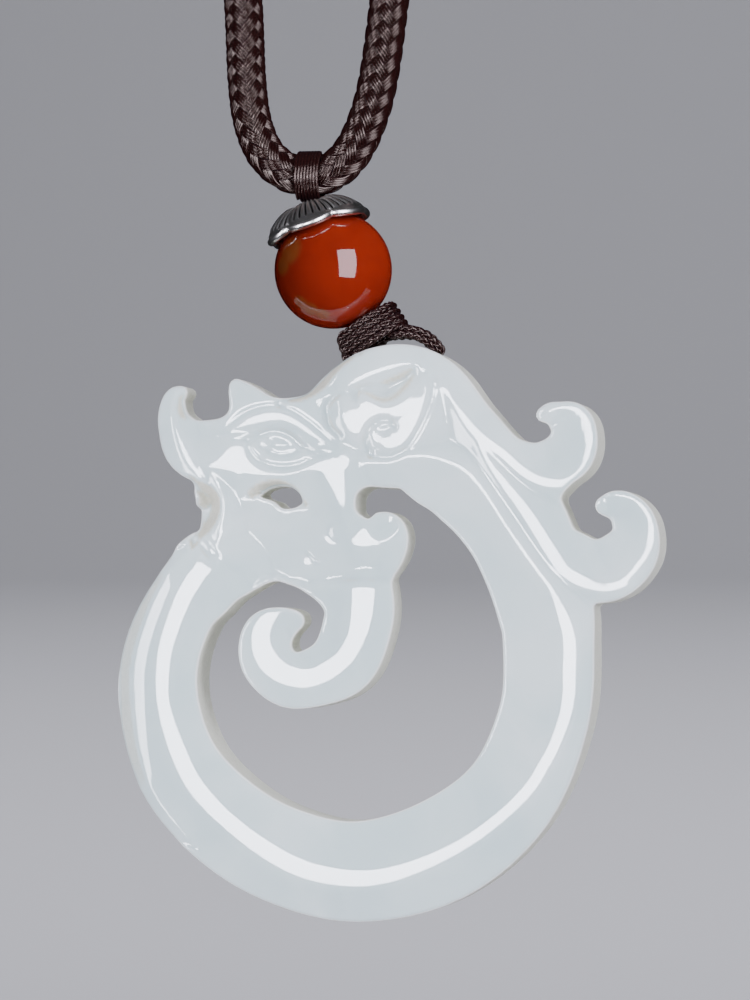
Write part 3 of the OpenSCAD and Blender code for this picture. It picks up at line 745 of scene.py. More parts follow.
def clip_grid(sheet, field):
    """The grid's part where the field is under zero, with its rim on the zero line.

    Corners near the line are moved onto it, and the other cells there are cut along it.
    Returns the corners' places and the faces."""
    near = 0.3 * sheet.cell
    gv, gu = np.gradient(field, sheet.cell)
    length = np.maximum(np.hypot(gu, gv), 1e-6)
    snap = np.abs(field) < near * length
    u = np.where(snap, sheet.u - field * gu / length ** 2, sheet.u)
    v = np.where(snap, sheet.v - field * gv / length ** 2, sheet.v)
    level = np.where(snap, 0.0, field)
    inside = level <= 0
    number = np.full(field.shape, -1)
    corners = [(0, 0), (0, 1), (1, 1), (1, 0)]
    rows, columns = field.shape
    count = sum(inside[dj:rows - 1 + dj, di:columns - 1 + di].astype(int) for dj, di in corners)
    truly = sum((level < 0)[dj:rows - 1 + dj, di:columns - 1 + di].astype(int) for dj, di in corners)
    places = []
    faces = []
    crossings = {}

    def corner_number(j, i):
        if number[j, i] < 0:
            number[j, i] = len(places)
            places.append((u[j, i], v[j, i]))
        return number[j, i]

    def crossing_number(p, q):
        key = (p, q) if p < q else (q, p)
        if key not in crossings:
            a, b = level[p], level[q]
            t = a / (a - b)
            crossings[key] = len(places)
            places.append((u[p] + (u[q] - u[p]) * t, v[p] + (v[q] - v[p]) * t))
        return crossings[key]

    for j, i in zip(*np.nonzero((count == 4) | (truly > 0))):
        ring = [(j + dj, i + di) for dj, di in corners]
        face = []
        for p, q in zip(ring, ring[1:] + ring[:1]):
            if inside[p]:
                face.append(corner_number(*p))
            if inside[p] != inside[q] and level[p] != 0 and level[q] != 0:
                face.append(crossing_number(p, q))
        if len(face) > 2:
            faces.append(face)
    return np.array(places), faces


def rim_loops(faces):
    """The directed edges that only one face has, as closed loops of corners."""
    ahead = {}
    edges = set()
    for face in faces:
        for a, b in zip(face, face[1:] + face[:1]):
            edges.add((a, b))
    for a, b in edges:
        if (b, a) not in edges:
            ahead.setdefault(a, []).append(b)
    loops = []
    while ahead:
        start = next(iter(ahead))
        loop = [start]
        while True:
            nexts = ahead[loop[-1]]
            step = nexts.pop()
            if not nexts:
                del ahead[loop[-1]]
            if step == start:
                break
            loop.append(step)
        loops.append(loop)
    return loops


# The rim is a strip of this width round each face, in rows at these shares of it, and then the
# wall, in rows at these shares of the rim's height over the middle
RIM_STRIP = 0.28 * MM
RIM_SHARES = (0.62, 0.30, 0.08, 0.0)
WALL_SHARES = (0.95, 0.35)
# How much each of those rows counts as wall and as the painted highlight on the edge
RIM_MARKS = [(0, 0), (0, 0.6), (0, 1), (0, 1), (0.9, 0), (0.9, 0)]
# Radius of the pierced hole's rounded rim, and how far down either rounding goes, as a share
HOLE_ROUND = 0.35 * MM
ROUND_SHARE = 0.85
# A face that is steeper than this counts as wall, fully so after the second number more
STEEP_FROM = 0.75
STEEP_RANGE = 0.35
# Near the edge, in this band, the outline's distance is put right by its slope
EDGE_BAND = 0.6 * MM


def build_jade_mesh(settings):
    """The carved jade: two like faces, the rounded rim between them and the pierced hole."""
    sheet = Sheet(settings.cell)
    body = outline_field(sheet)
    hole = hole_field(sheet)
    both = np.maximum(body, -hole)
    relief = relief_field(sheet)
    gv, gu = np.gradient(both, sheet.cell)
    length = np.maximum(np.hypot(gu, gv), 0.3)
    inner = blur(both, 0.6) / np.where(np.abs(both) < EDGE_BAND, length, 1) + RIM_STRIP
    places, faces = clip_grid(sheet, inner)
    outline = edge_points(sheet, body)
    inside = distance_to(outline, places)
    loops = rim_loops(faces)
    rim_radius = settings.rim_round

    def height_at(place, body_inside, hole_inside):
        return (sheet.sample(relief, place[:, 0], place[:, 1])
                - ROUND_SHARE * quarter_round(body_inside, rim_radius)
                - ROUND_SHARE * quarter_round(hole_inside, HOLE_ROUND))

    sv, su = np.gradient(relief, sheet.cell)
    steep = np.clip((np.hypot(su, sv) - STEEP_FROM) / STEEP_RANGE, 0, 1)
    hole_inside = sheet.sample(hole, places[:, 0], places[:, 1])
    count = len(places)
    heights = height_at(places, inside, hole_inside)
    front = np.column_stack([sheet.left + places[:, 0], -heights, sheet.top - places[:, 1]])
    back = front * (1, -1, 1)
    points = [front, back]
    wall = [sheet.sample(steep, places[:, 0], places[:, 1])] * 2
    # The edge marks are a painted highlight: how much of the bright edge colour each point gets
    edge = [np.zeros(count)] * 2
    all_faces = faces + [[i + count for i in reversed(face)] for face in faces]
    total = 2 * count
    for loop in loops:
        at = places[loop]
        nu = sheet.sample(gu, at[:, 0], at[:, 1])
        nv = sheet.sample(gv, at[:, 0], at[:, 1])
        out = np.column_stack([nu, nv]) / np.maximum(np.hypot(nu, nv), 1e-9)[:, None]
        out = (np.roll(out, 1, 0) + out + np.roll(out, -1, 0)) / 3
        out /= np.maximum(np.hypot(out[:, 0], out[:, 1]), 1e-9)[:, None]
        is_hole = hole_inside[loop] < 2 * RIM_STRIP
        body_now = inside[loop]
        hole_now = hole_inside[loop]
        rows = []
        for share in RIM_SHARES:
            place = at + out * RIM_STRIP * (1 - share)
            body_share = np.where(is_hole, body_now, body_now * share)
            hole_share = np.where(is_hole, hole_now * share, hole_now)
            height = height_at(place, body_share, hole_share)
            rows.append(np.column_stack([sheet.left + place[:, 0], -height, sheet.top - place[:, 1]]))
        rows += [rows[-1] * (1, share, 1) for share in WALL_SHARES]
        walls = rows + [row * (1, -1, 1) for row in reversed(rows)]
        n = len(loop)
        ids = [np.array(loop)]
        for row, (on_wall, painted_glint) in zip(walls, RIM_MARKS + RIM_MARKS[::-1]):
            points.append(row)
            wall.append(np.full(n, on_wall))
            edge.append(np.full(n, painted_glint))
            ids.append(np.arange(total, total + n))
            total += n
        ids.append(np.array(loop) + count)
        for low, high in zip(ids[:-1], ids[1:]):
            for k in range(n):
                m = (k + 1) % n
                all_faces.append((low[m], low[k], high[k], high[m]))
    piece = mesh_object("jade_dragon_ring", np.vstack(points), all_faces)
    mark(piece, "wall", np.concatenate(wall))
    # The edge mark carries the painted highlight along the rim to the material
    mark(piece, "edge", np.concatenate(edge))
    return piece, sheet


# Materials


def new_material(name):
    """A material with its nodes, its links and its shader."""
    material = bpy.data.materials.new(name)
    material.use_nodes = True
    nodes = material.node_tree.nodes
    return material, nodes, material.node_tree.links, nodes["Principled BSDF"]


def group_of(name, inputs, outputs):
    """An empty shader node group with its sockets."""
    group = bpy.data.node_groups.new(name, "ShaderNodeTree")
    for label, default in inputs.items():
        socket = group.interface.new_socket(name=label, in_out="INPUT", socket_type="NodeSocketFloat")
        socket.default_value = default
    for label in outputs:
        group.interface.new_socket(name=label, in_out="OUTPUT", socket_type="NodeSocketFloat")
    return group, group.nodes.new("NodeGroupInput"), group.nodes.new("NodeGroupOutput")


def clouds_group():
    """Soft clouds in a stone: a mask from noise, spread between a low and a high value."""
    if "stone_clouds" in bpy.data.node_groups:
        return bpy.data.node_groups["stone_clouds"]
    group, gin, gout = group_of("stone_clouds", {"Scale": 90.0, "Low": 0.4, "High": 0.65}, ["Mask"])
    nodes, links = group.nodes, group.links
    place = nodes.new("ShaderNodeTexCoord")
    noise = nodes.new("ShaderNodeTexNoise")
    noise.inputs["Detail"].default_value = 4
    noise.inputs["Distortion"].default_value = 0.6
    spread = nodes.new("ShaderNodeMapRange")
    links.new(place.outputs["Object"], noise.inputs["Vector"])
    links.new(gin.outputs["Scale"], noise.inputs["Scale"])
    links.new(noise.outputs["Fac"], spread.inputs["Value"])
    links.new(gin.outputs["Low"], spread.inputs["From Min"])
    links.new(gin.outputs["High"], spread.inputs["From Max"])
    links.new(spread.outputs["Result"], gout.inputs["Mask"])
    return group


def clouds(nodes, scale, low, high):
    """The mask of the clouds in a stone, with that stone's own values."""
    node = nodes.new("ShaderNodeGroup")
    node.node_tree = clouds_group()
    for label, value in (("Scale", scale), ("Low", low), ("High", high)):
        node.inputs[label].default_value = value
    return node.outputs["Mask"]


def attribute(nodes, name):
    """A value that the mesh keeps at each of its points."""
    node = nodes.new("ShaderNodeAttribute")
    node.attribute_name = name
    return node.outputs["Fac"]


def mixed(nodes, links, mask, low, high):
    """Two colours mixed by a mask. Each is a colour or the output of a node."""
    mix = nodes.new("ShaderNodeMix")
    mix.data_type = "RGBA"
    for label, colour in (("A", low), ("B", high)):
        if isinstance(colour, bpy.types.NodeSocket):
            links.new(colour, mix.inputs[label])
        else:
            mix.inputs[label].default_value = (*colour, 1)
    links.new(mask, mix.inputs["Factor"])
    return mix.outputs["Result"]


def ranged(nodes, links, value, low, high):
    """A mask turned into a number between two limits."""
    node = nodes.new("ShaderNodeMapRange")
    node.inputs["To Min"].default_value = low
    node.inputs["To Max"].default_value = high
    links.new(value, node.inputs["Value"])
    return node.outputs["Result"]


def combined(nodes, links, operation, first, second):
    """Two masks made into one."""
    node = nodes.new("ShaderNodeMath")
    node.operation = operation
    links.new(first, node.inputs[0])
    links.new(second, node.inputs[1])
    return node.outputs["Value"]


def bumped(nodes, links, height, strength, distance):
    """The normal of a surface with a height on it."""
    bump = nodes.new("ShaderNodeBump")
    bump.inputs["Strength"].default_value = strength
    bump.inputs["Distance"].default_value = distance
    links.new(height, bump.inputs["Height"])
    return bump.outputs["Normal"]


def jade_material(settings):
    """Polished pale stone, with rougher saw-cut walls and a painted highlight along its thin edge."""
    material, nodes, links, shader = new_material("white_jade")
    wall = attribute(nodes, "wall")
    place = nodes.new("ShaderNodeTexCoord")
    noise = nodes.new("ShaderNodeTexNoise")
    noise.inputs["Scale"].default_value = 2600
    noise.inputs["Detail"].default_value = 3
    links.new(place.outputs["Object"], noise.inputs["Vector"])
    grain = noise.outputs["Fac"]
    polished = mixed(nodes, links, clouds(nodes, 70, 0.4, 0.65), settings.body_colour, settings.cloud_colour)
    sawn = mixed(nodes, links, grain, settings.wall_dark, settings.wall_pale)
    stone = mixed(nodes, links, wall, polished, sawn)
    # Painted highlight: the edge mark mixes the bright edge colour in along the rim
    colour = mixed(nodes, links, attribute(nodes, "edge"), stone, settings.painted_edge_highlight)
    links.new(colour, shader.inputs["Base Color"])
    links.new(ranged(nodes, links, wall, 0.06, 0.5), shader.inputs["Roughness"])
    height = combined(nodes, links, "MULTIPLY", grain, wall)
    links.new(bumped(nodes, links, height, 0.6, 0.06 * MM), shader.inputs["Normal"])
    shader.inputs["IOR"].default_value = 1.61
    shader.inputs["Subsurface Weight"].default_value = 0.7
    shader.inputs["Subsurface Radius"].default_value = (1.0, 1.0, 0.95)
    shader.inputs["Subsurface Scale"].default_value = 1.8 * MM
    shader.inputs["Specular IOR Level"].default_value = 0.75
    return material


# Brown patches in the bead: their places to the right, back and up from its middle, and their
# size, in mm
PATCHES = [
    (-3.5, -4.5, 1.6, 1.5), (-4.2, -3.9, 0.2, 1.1), (-2.4, -3.9, -3.6, 0.9), (-1.5, -3.8, -4.2, 0.9),
    (-0.4, -3.5, -4.7, 0.8),
]
# A patch is full inside the first share of its size and gone outside the second
PATCH_FULL = 0.6
PATCH_GONE = 1.25


def patch(nodes, links, place, middle, size):
    """A mask that is full near a place and fades out round it."""
    away = nodes.new("ShaderNodeVectorMath")
    away.operation = "DISTANCE"
    away.inputs[1].default_value = middle
    links.new(place, away.inputs[0])
    near = nodes.new("ShaderNodeMapRange")
    near.interpolation_type = "SMOOTHSTEP"
    near.inputs["From Min"].default_value = PATCH_GONE * size
    near.inputs["From Max"].default_value = PATCH_FULL * size
    links.new(away.outputs["Value"], near.inputs["Value"])
    return near.outputs["Result"]


def bead_material(settings):
    """Deep red stone with brown patches."""
    material, nodes, links, shader = new_material("red_carnelian")
    middle = [(low + high) / 2 for low, high in zip(*BEAD_BOX)]
    place = nodes.new("ShaderNodeTexCoord").outputs["Object"]
    cloud = clouds(nodes, 300, 0.3, 0.8)
    brown = None
    for right, back, up, size in PATCHES:
        at = (middle[0] + right * MM, middle[1] + back * MM, middle[2] + up * MM)
        mask = patch(nodes, links, place, at, size * MM)
        brown = mask if brown is None else combined(nodes, links, "MAXIMUM", brown, mask)
    uneven = combined(nodes, links, "MULTIPLY", brown, ranged(nodes, links, cloud, 0.5, 1.0))
    stone = mixed(nodes, links, cloud, settings.red, settings.deep_red)
    links.new(mixed(nodes, links, uneven, stone, settings.amber), shader.inputs["Base Color"])
    shader.inputs["Roughness"].default_value = 0.05
    shader.inputs["IOR"].default_value = 1.54
    shader.inputs["Subsurface Weight"].default_value = 0.35
    shader.inputs["Subsurface Radius"].default_value = (1.0, 0.25, 0.1)
    shader.inputs["Subsurface Scale"].default_value = 2.0 * MM
    return material


def silver_material(settings):
    """Antique silver, bright on its ribs and rim and tarnished in its grooves."""
    material, nodes, links, shader = new_material("antique_silver")
    tarnish = attribute(nodes, "tarnish")
    links.new(mixed(nodes, links, tarnish, settings.silver, settings.tarnish), shader.inputs["Base Color"])
    shader.inputs["Metallic"].default_value = 1
    links.new(ranged(nodes, links, tarnish, 0.3, 0.6), shader.inputs["Roughness"])
    return material


def braid_material(name, settings, scale):
    """Glossy brown thread with fine fibres along the strands. The scale is that of the fibres."""
    material, nodes, links, shader = new_material(name)
    weave = nodes.new("ShaderNodeUVMap")
    weave.uv_map = "weave"
    stretch = nodes.new("ShaderNodeMapping")
    stretch.inputs["Scale"].default_value = (30, scale, 1)
    noise = nodes.new("ShaderNodeTexNoise")
    noise.inputs["Scale"].default_value = 1
    noise.inputs["Detail"].default_value = 3
    links.new(weave.outputs["UV"], stretch.inputs["Vector"])
    links.new(stretch.outputs["Vector"], noise.inputs["Vector"])
    fibres = noise.outputs["Fac"]
    links.new(mixed(nodes, links, fibres, settings.deep, settings.brown), shader.inputs["Base Color"])
    links.new(bumped(nodes, links, fibres, 0.5, 0.05 * MM), shader.inputs["Normal"])
    shader.inputs["Roughness"].default_value = 0.18
    shader.inputs["Specular IOR Level"].default_value = 0.6
    shader.inputs["Specular Tint"].default_value = (1.0, 0.84, 0.76, 1)
    shader.inputs["Sheen Weight"].default_value = 0.02
    shader.inputs["Sheen Roughness"].default_value = 0.4
    shader.inputs["Sheen Tint"].default_value = (0.7, 0.5, 0.65, 1)
    return material


# Braids

# The loop's route as in the solid. Columns: up as a share of the loop's height, left and
# right as shares of half its width
LOOP = [
    (0.0017, -0.054, 0.029), (0.008, -0.094, 0.065), (0.019, -0.119, 0.094), (0.034, -0.130, 0.115),
    (0.061, -0.137, 0.135), (0.105, -0.155, 0.162), (0.170, -0.216, 0.225), (0.252, -0.324, 0.333),
    (0.333, -0.459, 0.459), (0.415, -0.604, 0.604), (0.497, -0.739, 0.739), (0.578, -0.865, 0.865),
    (0.663, -0.955, 0.955), (0.748, -1.000, 1.000), (0.827, -0.973, 0.973), (0.898, -0.847, 0.847),
    (0.953, -0.631, 0.631), (0.990, -0.324, 0.324),
]
CORD_D = 3.9 * MM
# Where the loop's foot is, to the right of its middle
HANG_X = -0.6 * MM
# The outer side of one thread of a strand, in full and plain. Columns: across as a share of the
# thread's width, and out as a share of half the strand's thickness
FULL_THREAD = [(0.0, -0.45), (0.22, 0.75), (0.5, 1.05), (0.78, 0.75)]
PLAIN_THREAD = [(0.0, 0.1), (0.5, 1.0)]
# How far a strand goes in and out as it crosses the others, as a share of its thickness, how
# far its flat inner side lies in, and how much of the way's roundness its sides follow
STRAND_WAVE = 0.5
STRAND_INSIDE = -0.6
STRAND_SAG = 0.6


def loop_route(steps):
    """Points of the neck cord's closed route, from its lowest bend up the left side."""
    low, high = (Vector(corner) for corner in CORD_BOX)
    half = (high.x - low.x - CORD_D) / 2
    foot = low.z + CORD_D / 2
    rise = high.z - CORD_D / 2 - foot
    rows = [(HANG_X, foot)]
    rows += [(row[1] * half, foot + row[0] * rise) for row in LOOP]
    rows += [(0, foot + rise)]
    rows += [(row[2] * half, foot + row[0] * rise) for row in reversed(LOOP)]
    flat = smooth_curve(rows, steps, closed=True)
    return np.column_stack([flat[:, 0], np.zeros(len(flat)), flat[:, 1]])


def even_points(points, step, closed=False):
    """The same way in even steps, with its tangents and the distance along it."""
    if closed:
        points = np.vstack([points, points[:1]])
    lengths = np.concatenate([[0], np.cumsum(np.linalg.norm(np.diff(points, axis=0), axis=1))])
    count = max(int(round(lengths[-1] / step)), 4)
    along = np.linspace(0, lengths[-1], count + 1)
    places = np.column_stack([np.interp(along, lengths, points[:, k]) for k in range(3)])
    tangents = np.gradient(places, axis=0)
    if closed:
        tangents[0] = tangents[-1] = places[1] - places[-2]
    tangents /= np.linalg.norm(tangents, axis=1)[:, None]
    return places, tangents, along


def carried_normals(tangents):
    """A normal at each point of a way, carried along it without twist."""
    normal = np.array([0.0, 1.0, 0.0])
    out = np.empty_like(tangents)
    for i, tangent in enumerate(tangents):
        normal = normal - tangent * (normal @ tangent)
        normal = normal / np.linalg.norm(normal)
        out[i] = normal
    return out


def strand_section(threads):
    """A strand's section: a row of round threads on its outer side, and flat inside."""
    profile = FULL_THREAD if threads > 2 else PLAIN_THREAD
    outer = [((k + t) / threads * 2 - 1, rise) for k in range(threads) for t, rise in profile]
    outer[0] = (outer[0][0], 0.0)
    return np.array(outer + [(1.0, 0.0), (0.5, STRAND_INSIDE), (-0.5, STRAND_INSIDE)])


def braid_parts(places, tangents, along, radius, strands, pitch, width, thick, threads):
    """Flat strands of side by side threads, braided two over and two under round a way.

    Returns the points, the faces and the places on the weave."""
    half = strands // 2
    gap = pitch / strands
    wave = STRAND_WAVE * thick
    section = strand_section(threads)
    n = len(section)
    up = carried_normals(tangents)
    side = np.cross(tangents, up)
    points, faces, uvs = [], [], []
    total = 0
    turn = 2 * math.pi / pitch
    for family in (1, -1):
        for k in range(half):
            angle = 2 * math.pi * k / half + family * turn * along
            phase = 2 * k + family * along / gap
            lift = family * np.cos(2 * math.pi * (phase - 0.5) / 4)
            core = radius + wave * lift
            radial = np.cos(angle)[:, None] * side + np.sin(angle)[:, None] * up
            round_way = -np.sin(angle)[:, None] * side + np.cos(angle)[:, None] * up
            lean = np.arctan(core * turn)
            way = np.cos(lean)[:, None] * tangents + family * np.sin(lean)[:, None] * round_way
            wide = np.cross(radial, way)
            for q, (x, y) in enumerate(section):
                aside = x * width / 2
                sag = STRAND_SAG * aside ** 2 / (2 * radius)
                points.append(places + radial * (core + y * thick / 2 - sag)[:, None] + wide * aside)
                uvs.append(np.column_stack([np.full(len(along), q / n + 7 * k), along]))
            m = len(along)
            base = total
            for q in range(n):
                q2 = (q + 1) % n
                a = base + q * m + np.arange(m - 1)
                b = base + q2 * m + np.arange(m - 1)
                faces.append(np.column_stack([a, b, b + 1, a + 1]))
            faces.append([base + q * m for q in range(n)][::-1])
            faces.append([base + q * m + m - 1 for q in range(n)])
            total += n * m
    flat = []
    for block in faces:
        if isinstance(block, list):
            flat.append(block)
        else:
            flat.extend(block.tolist())
    return np.vstack(points), flat, np.vstack(uvs)


def tube_parts(places, tangents, along, radius, sides):
    """A round thread along a way, with flat ends."""
    up = carried_normals(tangents)
    side = np.cross(tangents, up)
    m = len(along)
    points, uvs, faces = [], [], []
    for q in range(sides):
        angle = 2 * math.pi * q / sides
        points.append(places + radius * (math.cos(angle) * side + math.sin(angle) * up))
        uvs.append(np.column_stack([np.full(m, q / sides), along]))
        a = q * m + np.arange(m - 1)
        b = (q + 1) % sides * m + np.arange(m - 1)
        faces.extend(np.column_stack([a, b, b + 1, a + 1]).tolist())
    faces.append([q * m for q in range(sides)][::-1])
    faces.append([q * m + m - 1 for q in range(sides)])
    return np.vstack(points), faces, np.vstack(uvs)


def joined(name, parts):
    """One object of several parts of points, faces and places on the weave."""
    points, faces, uvs = [], [], []
    total = 0
    for part_points, part_faces, part_uvs in parts:
        points.append(part_points)
        uvs.append(part_uvs)
        faces.extend([[i + total for i in face] for face in part_faces])
        total += len(part_points)
    return mesh_object(name, np.vstack(points), faces, np.vstack(uvs))


# Lights that leave some pieces out


def spared_group(name):
    """The collection of the pieces that a light doesn't reach."""
    return bpy.data.collections.get(name) or bpy.data.collections.new(name)


def spare(piece, name):
    """Keeps the lights that spare a group off a piece."""
    group = spared_group(name)
    group.objects.link(piece)
    group.collection_objects[-1].light_linking.link_state = "EXCLUDE"


# Operators


class PENDANT_OT_jade(bpy.types.Operator):
    """Carve the jade dragon ring with its relief and its slanted tie holes"""

    bl_idname = "pendant.jade"
    bl_label = "Jade"

    def execute(self, context):
        settings = context.scene.pendant_jade
        piece, sheet = build_jade_mesh(settings)
        for hump_row, angle in TIE_HOLES:
            self.drill(piece, sheet, hump_row, math.radians(angle), settings.tie_bore)
        clean(piece)
        piece.data.materials.clear()
        piece.data.materials.append(jade_material(settings))
        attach(piece, "root")
        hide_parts("jade")
        spare(piece, "jade_left_dark")
        return {"FINISHED"}

    def drill(self, piece, sheet, hump_row, angle, bore):
        """One slanted hole, from its mouth on the hump's shoulder to where the two meet."""
        across, down, half = STROKES["hump"][hump_row]
        reach = half * BAND_WIDTH / 2 + TIE_OVER
        inner = Vector((sheet.left + TIE_MEET[0] * sheet.width, 0, sheet.top - TIE_MEET[1] * sheet.height))
        mouth = Vector((sheet.left + across * sheet.width + reach * math.cos(angle), 0,
                        sheet.top - down * sheet.height + reach * math.sin(angle)))
        way = 1.5 * (mouth - inner)
        deselect()
        bpy.ops.mesh.primitive_cylinder_add(
            vertices=32, radius=bore / 2, depth=way.length, location=inner + way / 2,
            rotation=(0, math.atan2(way.x, way.z), 0))
        drill = bpy.context.object
        bpy.ops.object.shade_smooth()
        mark(drill, "wall", np.ones(len(drill.data.vertices)))
        cut_away(piece, drill, "MANIFOLD")


class PENDANT_OT_bead(bpy.types.Operator):
    """Turn and drill the red stone bead"""

    bl_idname = "pendant.bead"
    bl_label = "Bead"

    def execute(self, context):
        settings = context.scene.pendant_bead
        low, high = (Vector(corner) for corner in BEAD_BOX)
        size = high.z - low.z
        at = {"location": (low + high) / 2, "rotation": (0, -settings.lean, 0)}
        deselect()
        bpy.ops.mesh.primitive_uv_sphere_add(segments=96, ring_count=48, radius=size / 2, **at)
        piece = context.object
        piece.name = "carnelian_bead"
        bpy.ops.mesh.primitive_cylinder_add(vertices=48, radius=settings.bore / 2, depth=2 * size, **at)
        cut_away(piece, context.object, "EXACT")
        clean(piece)
        bpy.ops.object.shade_smooth_by_angle(angle=math.radians(40))
        piece.data.materials.append(bead_material(settings))
        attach(piece, "root")
        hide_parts("bead")
        spare(piece, "beads_left_dark")
        return {"FINISHED"}


class PENDANT_OT_cord(bpy.types.Operator):
    """Braid the neck cord, finest where it shows near the bead"""

    bl_idname = "pendant.cord"
    bl_label = "Neck cord"

    # Step along the way, how far each piece laps over the next, and how far up each side from
    # the foot the strands have all their threads
    STEP = 0.35 * MM
    LAP = 0.36 * MM
    LOW_PART = 44 * MM
    # Radius that the strands run round, their number, their width and their thickness
    CORE = 1.6 * MM
    STRANDS = 16
    WIDTH = 1.12 * MM
    THICK = 0.42 * MM
    LOW_THREADS = 4
    HIGH_THREADS = 2

    def execute(self, context):
        settings = context.scene.pendant_cord
        material = braid_material("brown_braid", settings, 400)
        places, tangents, along = even_points(loop_route(12), self.STEP, closed=True)
        total = along[-1]
        spans = {
            "neck_cord_low_left": (0, self.LOW_PART, self.LOW_THREADS),
            "neck_cord_low_right": (total - self.LOW_PART, total, self.LOW_THREADS),
            "neck_cord_left": (self.LOW_PART, total / 2, self.HIGH_THREADS),
            "neck_cord_right": (total / 2, total - self.LOW_PART, self.HIGH_THREADS),
        }
        for name, (start, end, threads) in spans.items():
            keep = (along >= start - 1e-6) & (along <= end + self.LAP)
            parts = braid_parts(places[keep], tangents[keep], along[keep], self.CORE, self.STRANDS,
                                settings.pitch, self.WIDTH, self.THICK, threads)
            piece = joined(name, [parts])
            piece.data.materials.append(material)
            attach(piece, "root")
            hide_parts("neck_cord")
        return {"FINISHED"}


# The cap's section. Columns: distance from the axis and height over the bead's middle, in mm
CAP_TOP_SIDE = [
    (1.05, 6.5), (1.5, 6.72), (1.95, 7.0), (2.75, 6.82), (3.5, 6.46), (4.2, 5.98), (4.85, 5.4),
    (5.25, 4.95),
]
CAP_ROLL = [(5.45, 4.85), (5.54, 4.6), (5.47, 4.36), (5.25, 4.2), (4.98, 4.2), (4.78, 4.36), (4.7, 4.62)]
CAP_UNDERSIDE = [(4.5, 5.0), (3.9, 5.42), (2.75, 5.82), (1.6, 6.05), (1.05, 6.12)]
PETALS = 6
RIBS = 7
# Samples round the cap for each rib of each petal
RIB_SAMPLES = 16


class PENDANT_OT_cap(bpy.types.Operator):
    """Raise the silver petals of the cap, with their ribs and their rolled rim"""

    bl_idname = "pendant.cap"
    bl_label = "Cap"

    # Lengths are in mm. Where the petals start, from the axis, and how much farther out they
    # have their full shape
    PETALS_FROM = 2.2
    PETALS_OVER = 3.0
    # Between two petals the rim lies in by a share of its radius and up by a length, and the
    # middle of each petal hangs down
    NOTCH_IN = 0.13
    NOTCH_UP = 0.3
    PETAL_DOWN = 0.12
    # On the top side each petal is crowned, and a crease lies between two of them
    CROWN_UP = 0.26
    CREASE_DOWN = 0.3
    # The ribs' height, the level that counts as none, and how much of it the creases take
    RIB_UP = 0.46
    RIB_LEVEL = 0.6
    RIB_LOST = 0.4
    # The ribs end at the first of these distances from the axis. Within the second the cap's
    # underside is tarnished, by the last number
    RIBS_TO = 5.1
    UNDER_TO = 4.7
    UNDER_TARNISH = 0.75

    def execute(self, context):
        settings = context.scene.pendant_bead
        samples = PETALS * RIBS * RIB_SAMPLES
        top_side = smooth_curve(CAP_TOP_SIDE, 5)
        roll = smooth_curve([CAP_TOP_SIDE[-1]] + CAP_ROLL + [CAP_UNDERSIDE[0]], 3)[1:-1]
        under = smooth_curve(CAP_UNDERSIDE, 3)
        section = np.vstack([top_side, roll, under])
        angle = np.arange(samples) / samples * 2 * math.pi
        in_petal = (angle * PETALS / (2 * math.pi) + 0.5 * PETALS) % 1.0 - 0.5
        petal = np.cos(in_petal * math.pi)
        cusp = 1 - np.abs(petal) ** 0.7
        rib = np.abs(np.sin(in_petal * RIBS * math.pi))
        rows = []
        tarnish = []
        for i, (r, z) in enumerate(section):
            outer = i < len(top_side)
            share = np.clip((r - self.PETALS_FROM) / self.PETALS_OVER, 0, 1)
            radius = r * (1 - self.NOTCH_IN * cusp * share ** 2)
            height = z + self.NOTCH_UP * cusp * share ** 2 - self.PETAL_DOWN * share * petal
            if outer:
                crown = self.CROWN_UP * np.sqrt(np.clip(petal, 0, 1)) - self.CREASE_DOWN * cusp
                height = height + share ** 0.5 * crown
                ribbed = np.clip((self.RIBS_TO - r) / 0.2, 0, 1) * np.clip((r - self.PETALS_FROM) / 0.3, 0, 1)
                ribs = (rib ** 0.8 - self.RIB_LEVEL) * (1 - self.RIB_LOST * cusp)
                height = height + ribbed * self.RIB_UP * ribs
                tarnish.append(np.clip(ribbed * (1.6 - 1.7 * rib) + 0.7 * (cusp > 0.8) * ribbed, 0, 1))
            else:
                tarnish.append(np.full(samples, self.UNDER_TARNISH if r < self.UNDER_TO else 0.0))
            rows.append(np.column_stack([radius * np.cos(angle), radius * np.sin(angle), height]) * MM)
        points = np.vstack(rows)
        count = len(rows)
        a = np.arange(samples)
        b = (a + 1) % samples
        faces = []
        for k in range(count):
            low, high = k * samples, (k + 1) % count * samples
            faces.extend(np.column_stack([low + a, high + a, high + b, low + b]).tolist())
        piece = mesh_object("silver_petal_cap", self.placed(points, settings.lean), faces)
        mark(piece, "tarnish", np.concatenate(tarnish))
        piece.data.materials.append(silver_material(settings))
        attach(piece, "root")
        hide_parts("bead_cap")
        return {"FINISHED"}

    def placed(self, points, lean):
        """Points on the bead's axis, leaned and moved to the bead's middle."""
        low, high = (np.array(corner) for corner in BEAD_BOX)
        c, s = math.cos(lean), math.sin(lean)
        turned = np.column_stack([points[:, 0] * c - points[:, 2] * s, points[:, 1],
                                  points[:, 0] * s + points[:, 2] * c])
        return turned + (low + high) / 2


# Ways of the fine braids of the tie. Columns: across and down on the sheet, and forward in mm.
# The slanted turns go from the left hole up under the bead, round to the back and down again.
TIE_LOW = [(362, 372), (350, 364), (346, 356)]
# Forward place of the first turn in the left hole and the room from one turn to the next, in mm
LOW_FORWARD = 0.1
LOW_ROOM = 0.17
TURN_MIDDLE = (372.5, 330.5)
TURN_WAY = (0.839, -0.545)
TURN_STEPS = [(-30, 0.8), (-20, 1.5), (-8, 2.05), (6, 2.15), (18, 2.0), (26, 1.5), (30, 0.5)]
TURN_GAP = 7.2
TURNS = 4
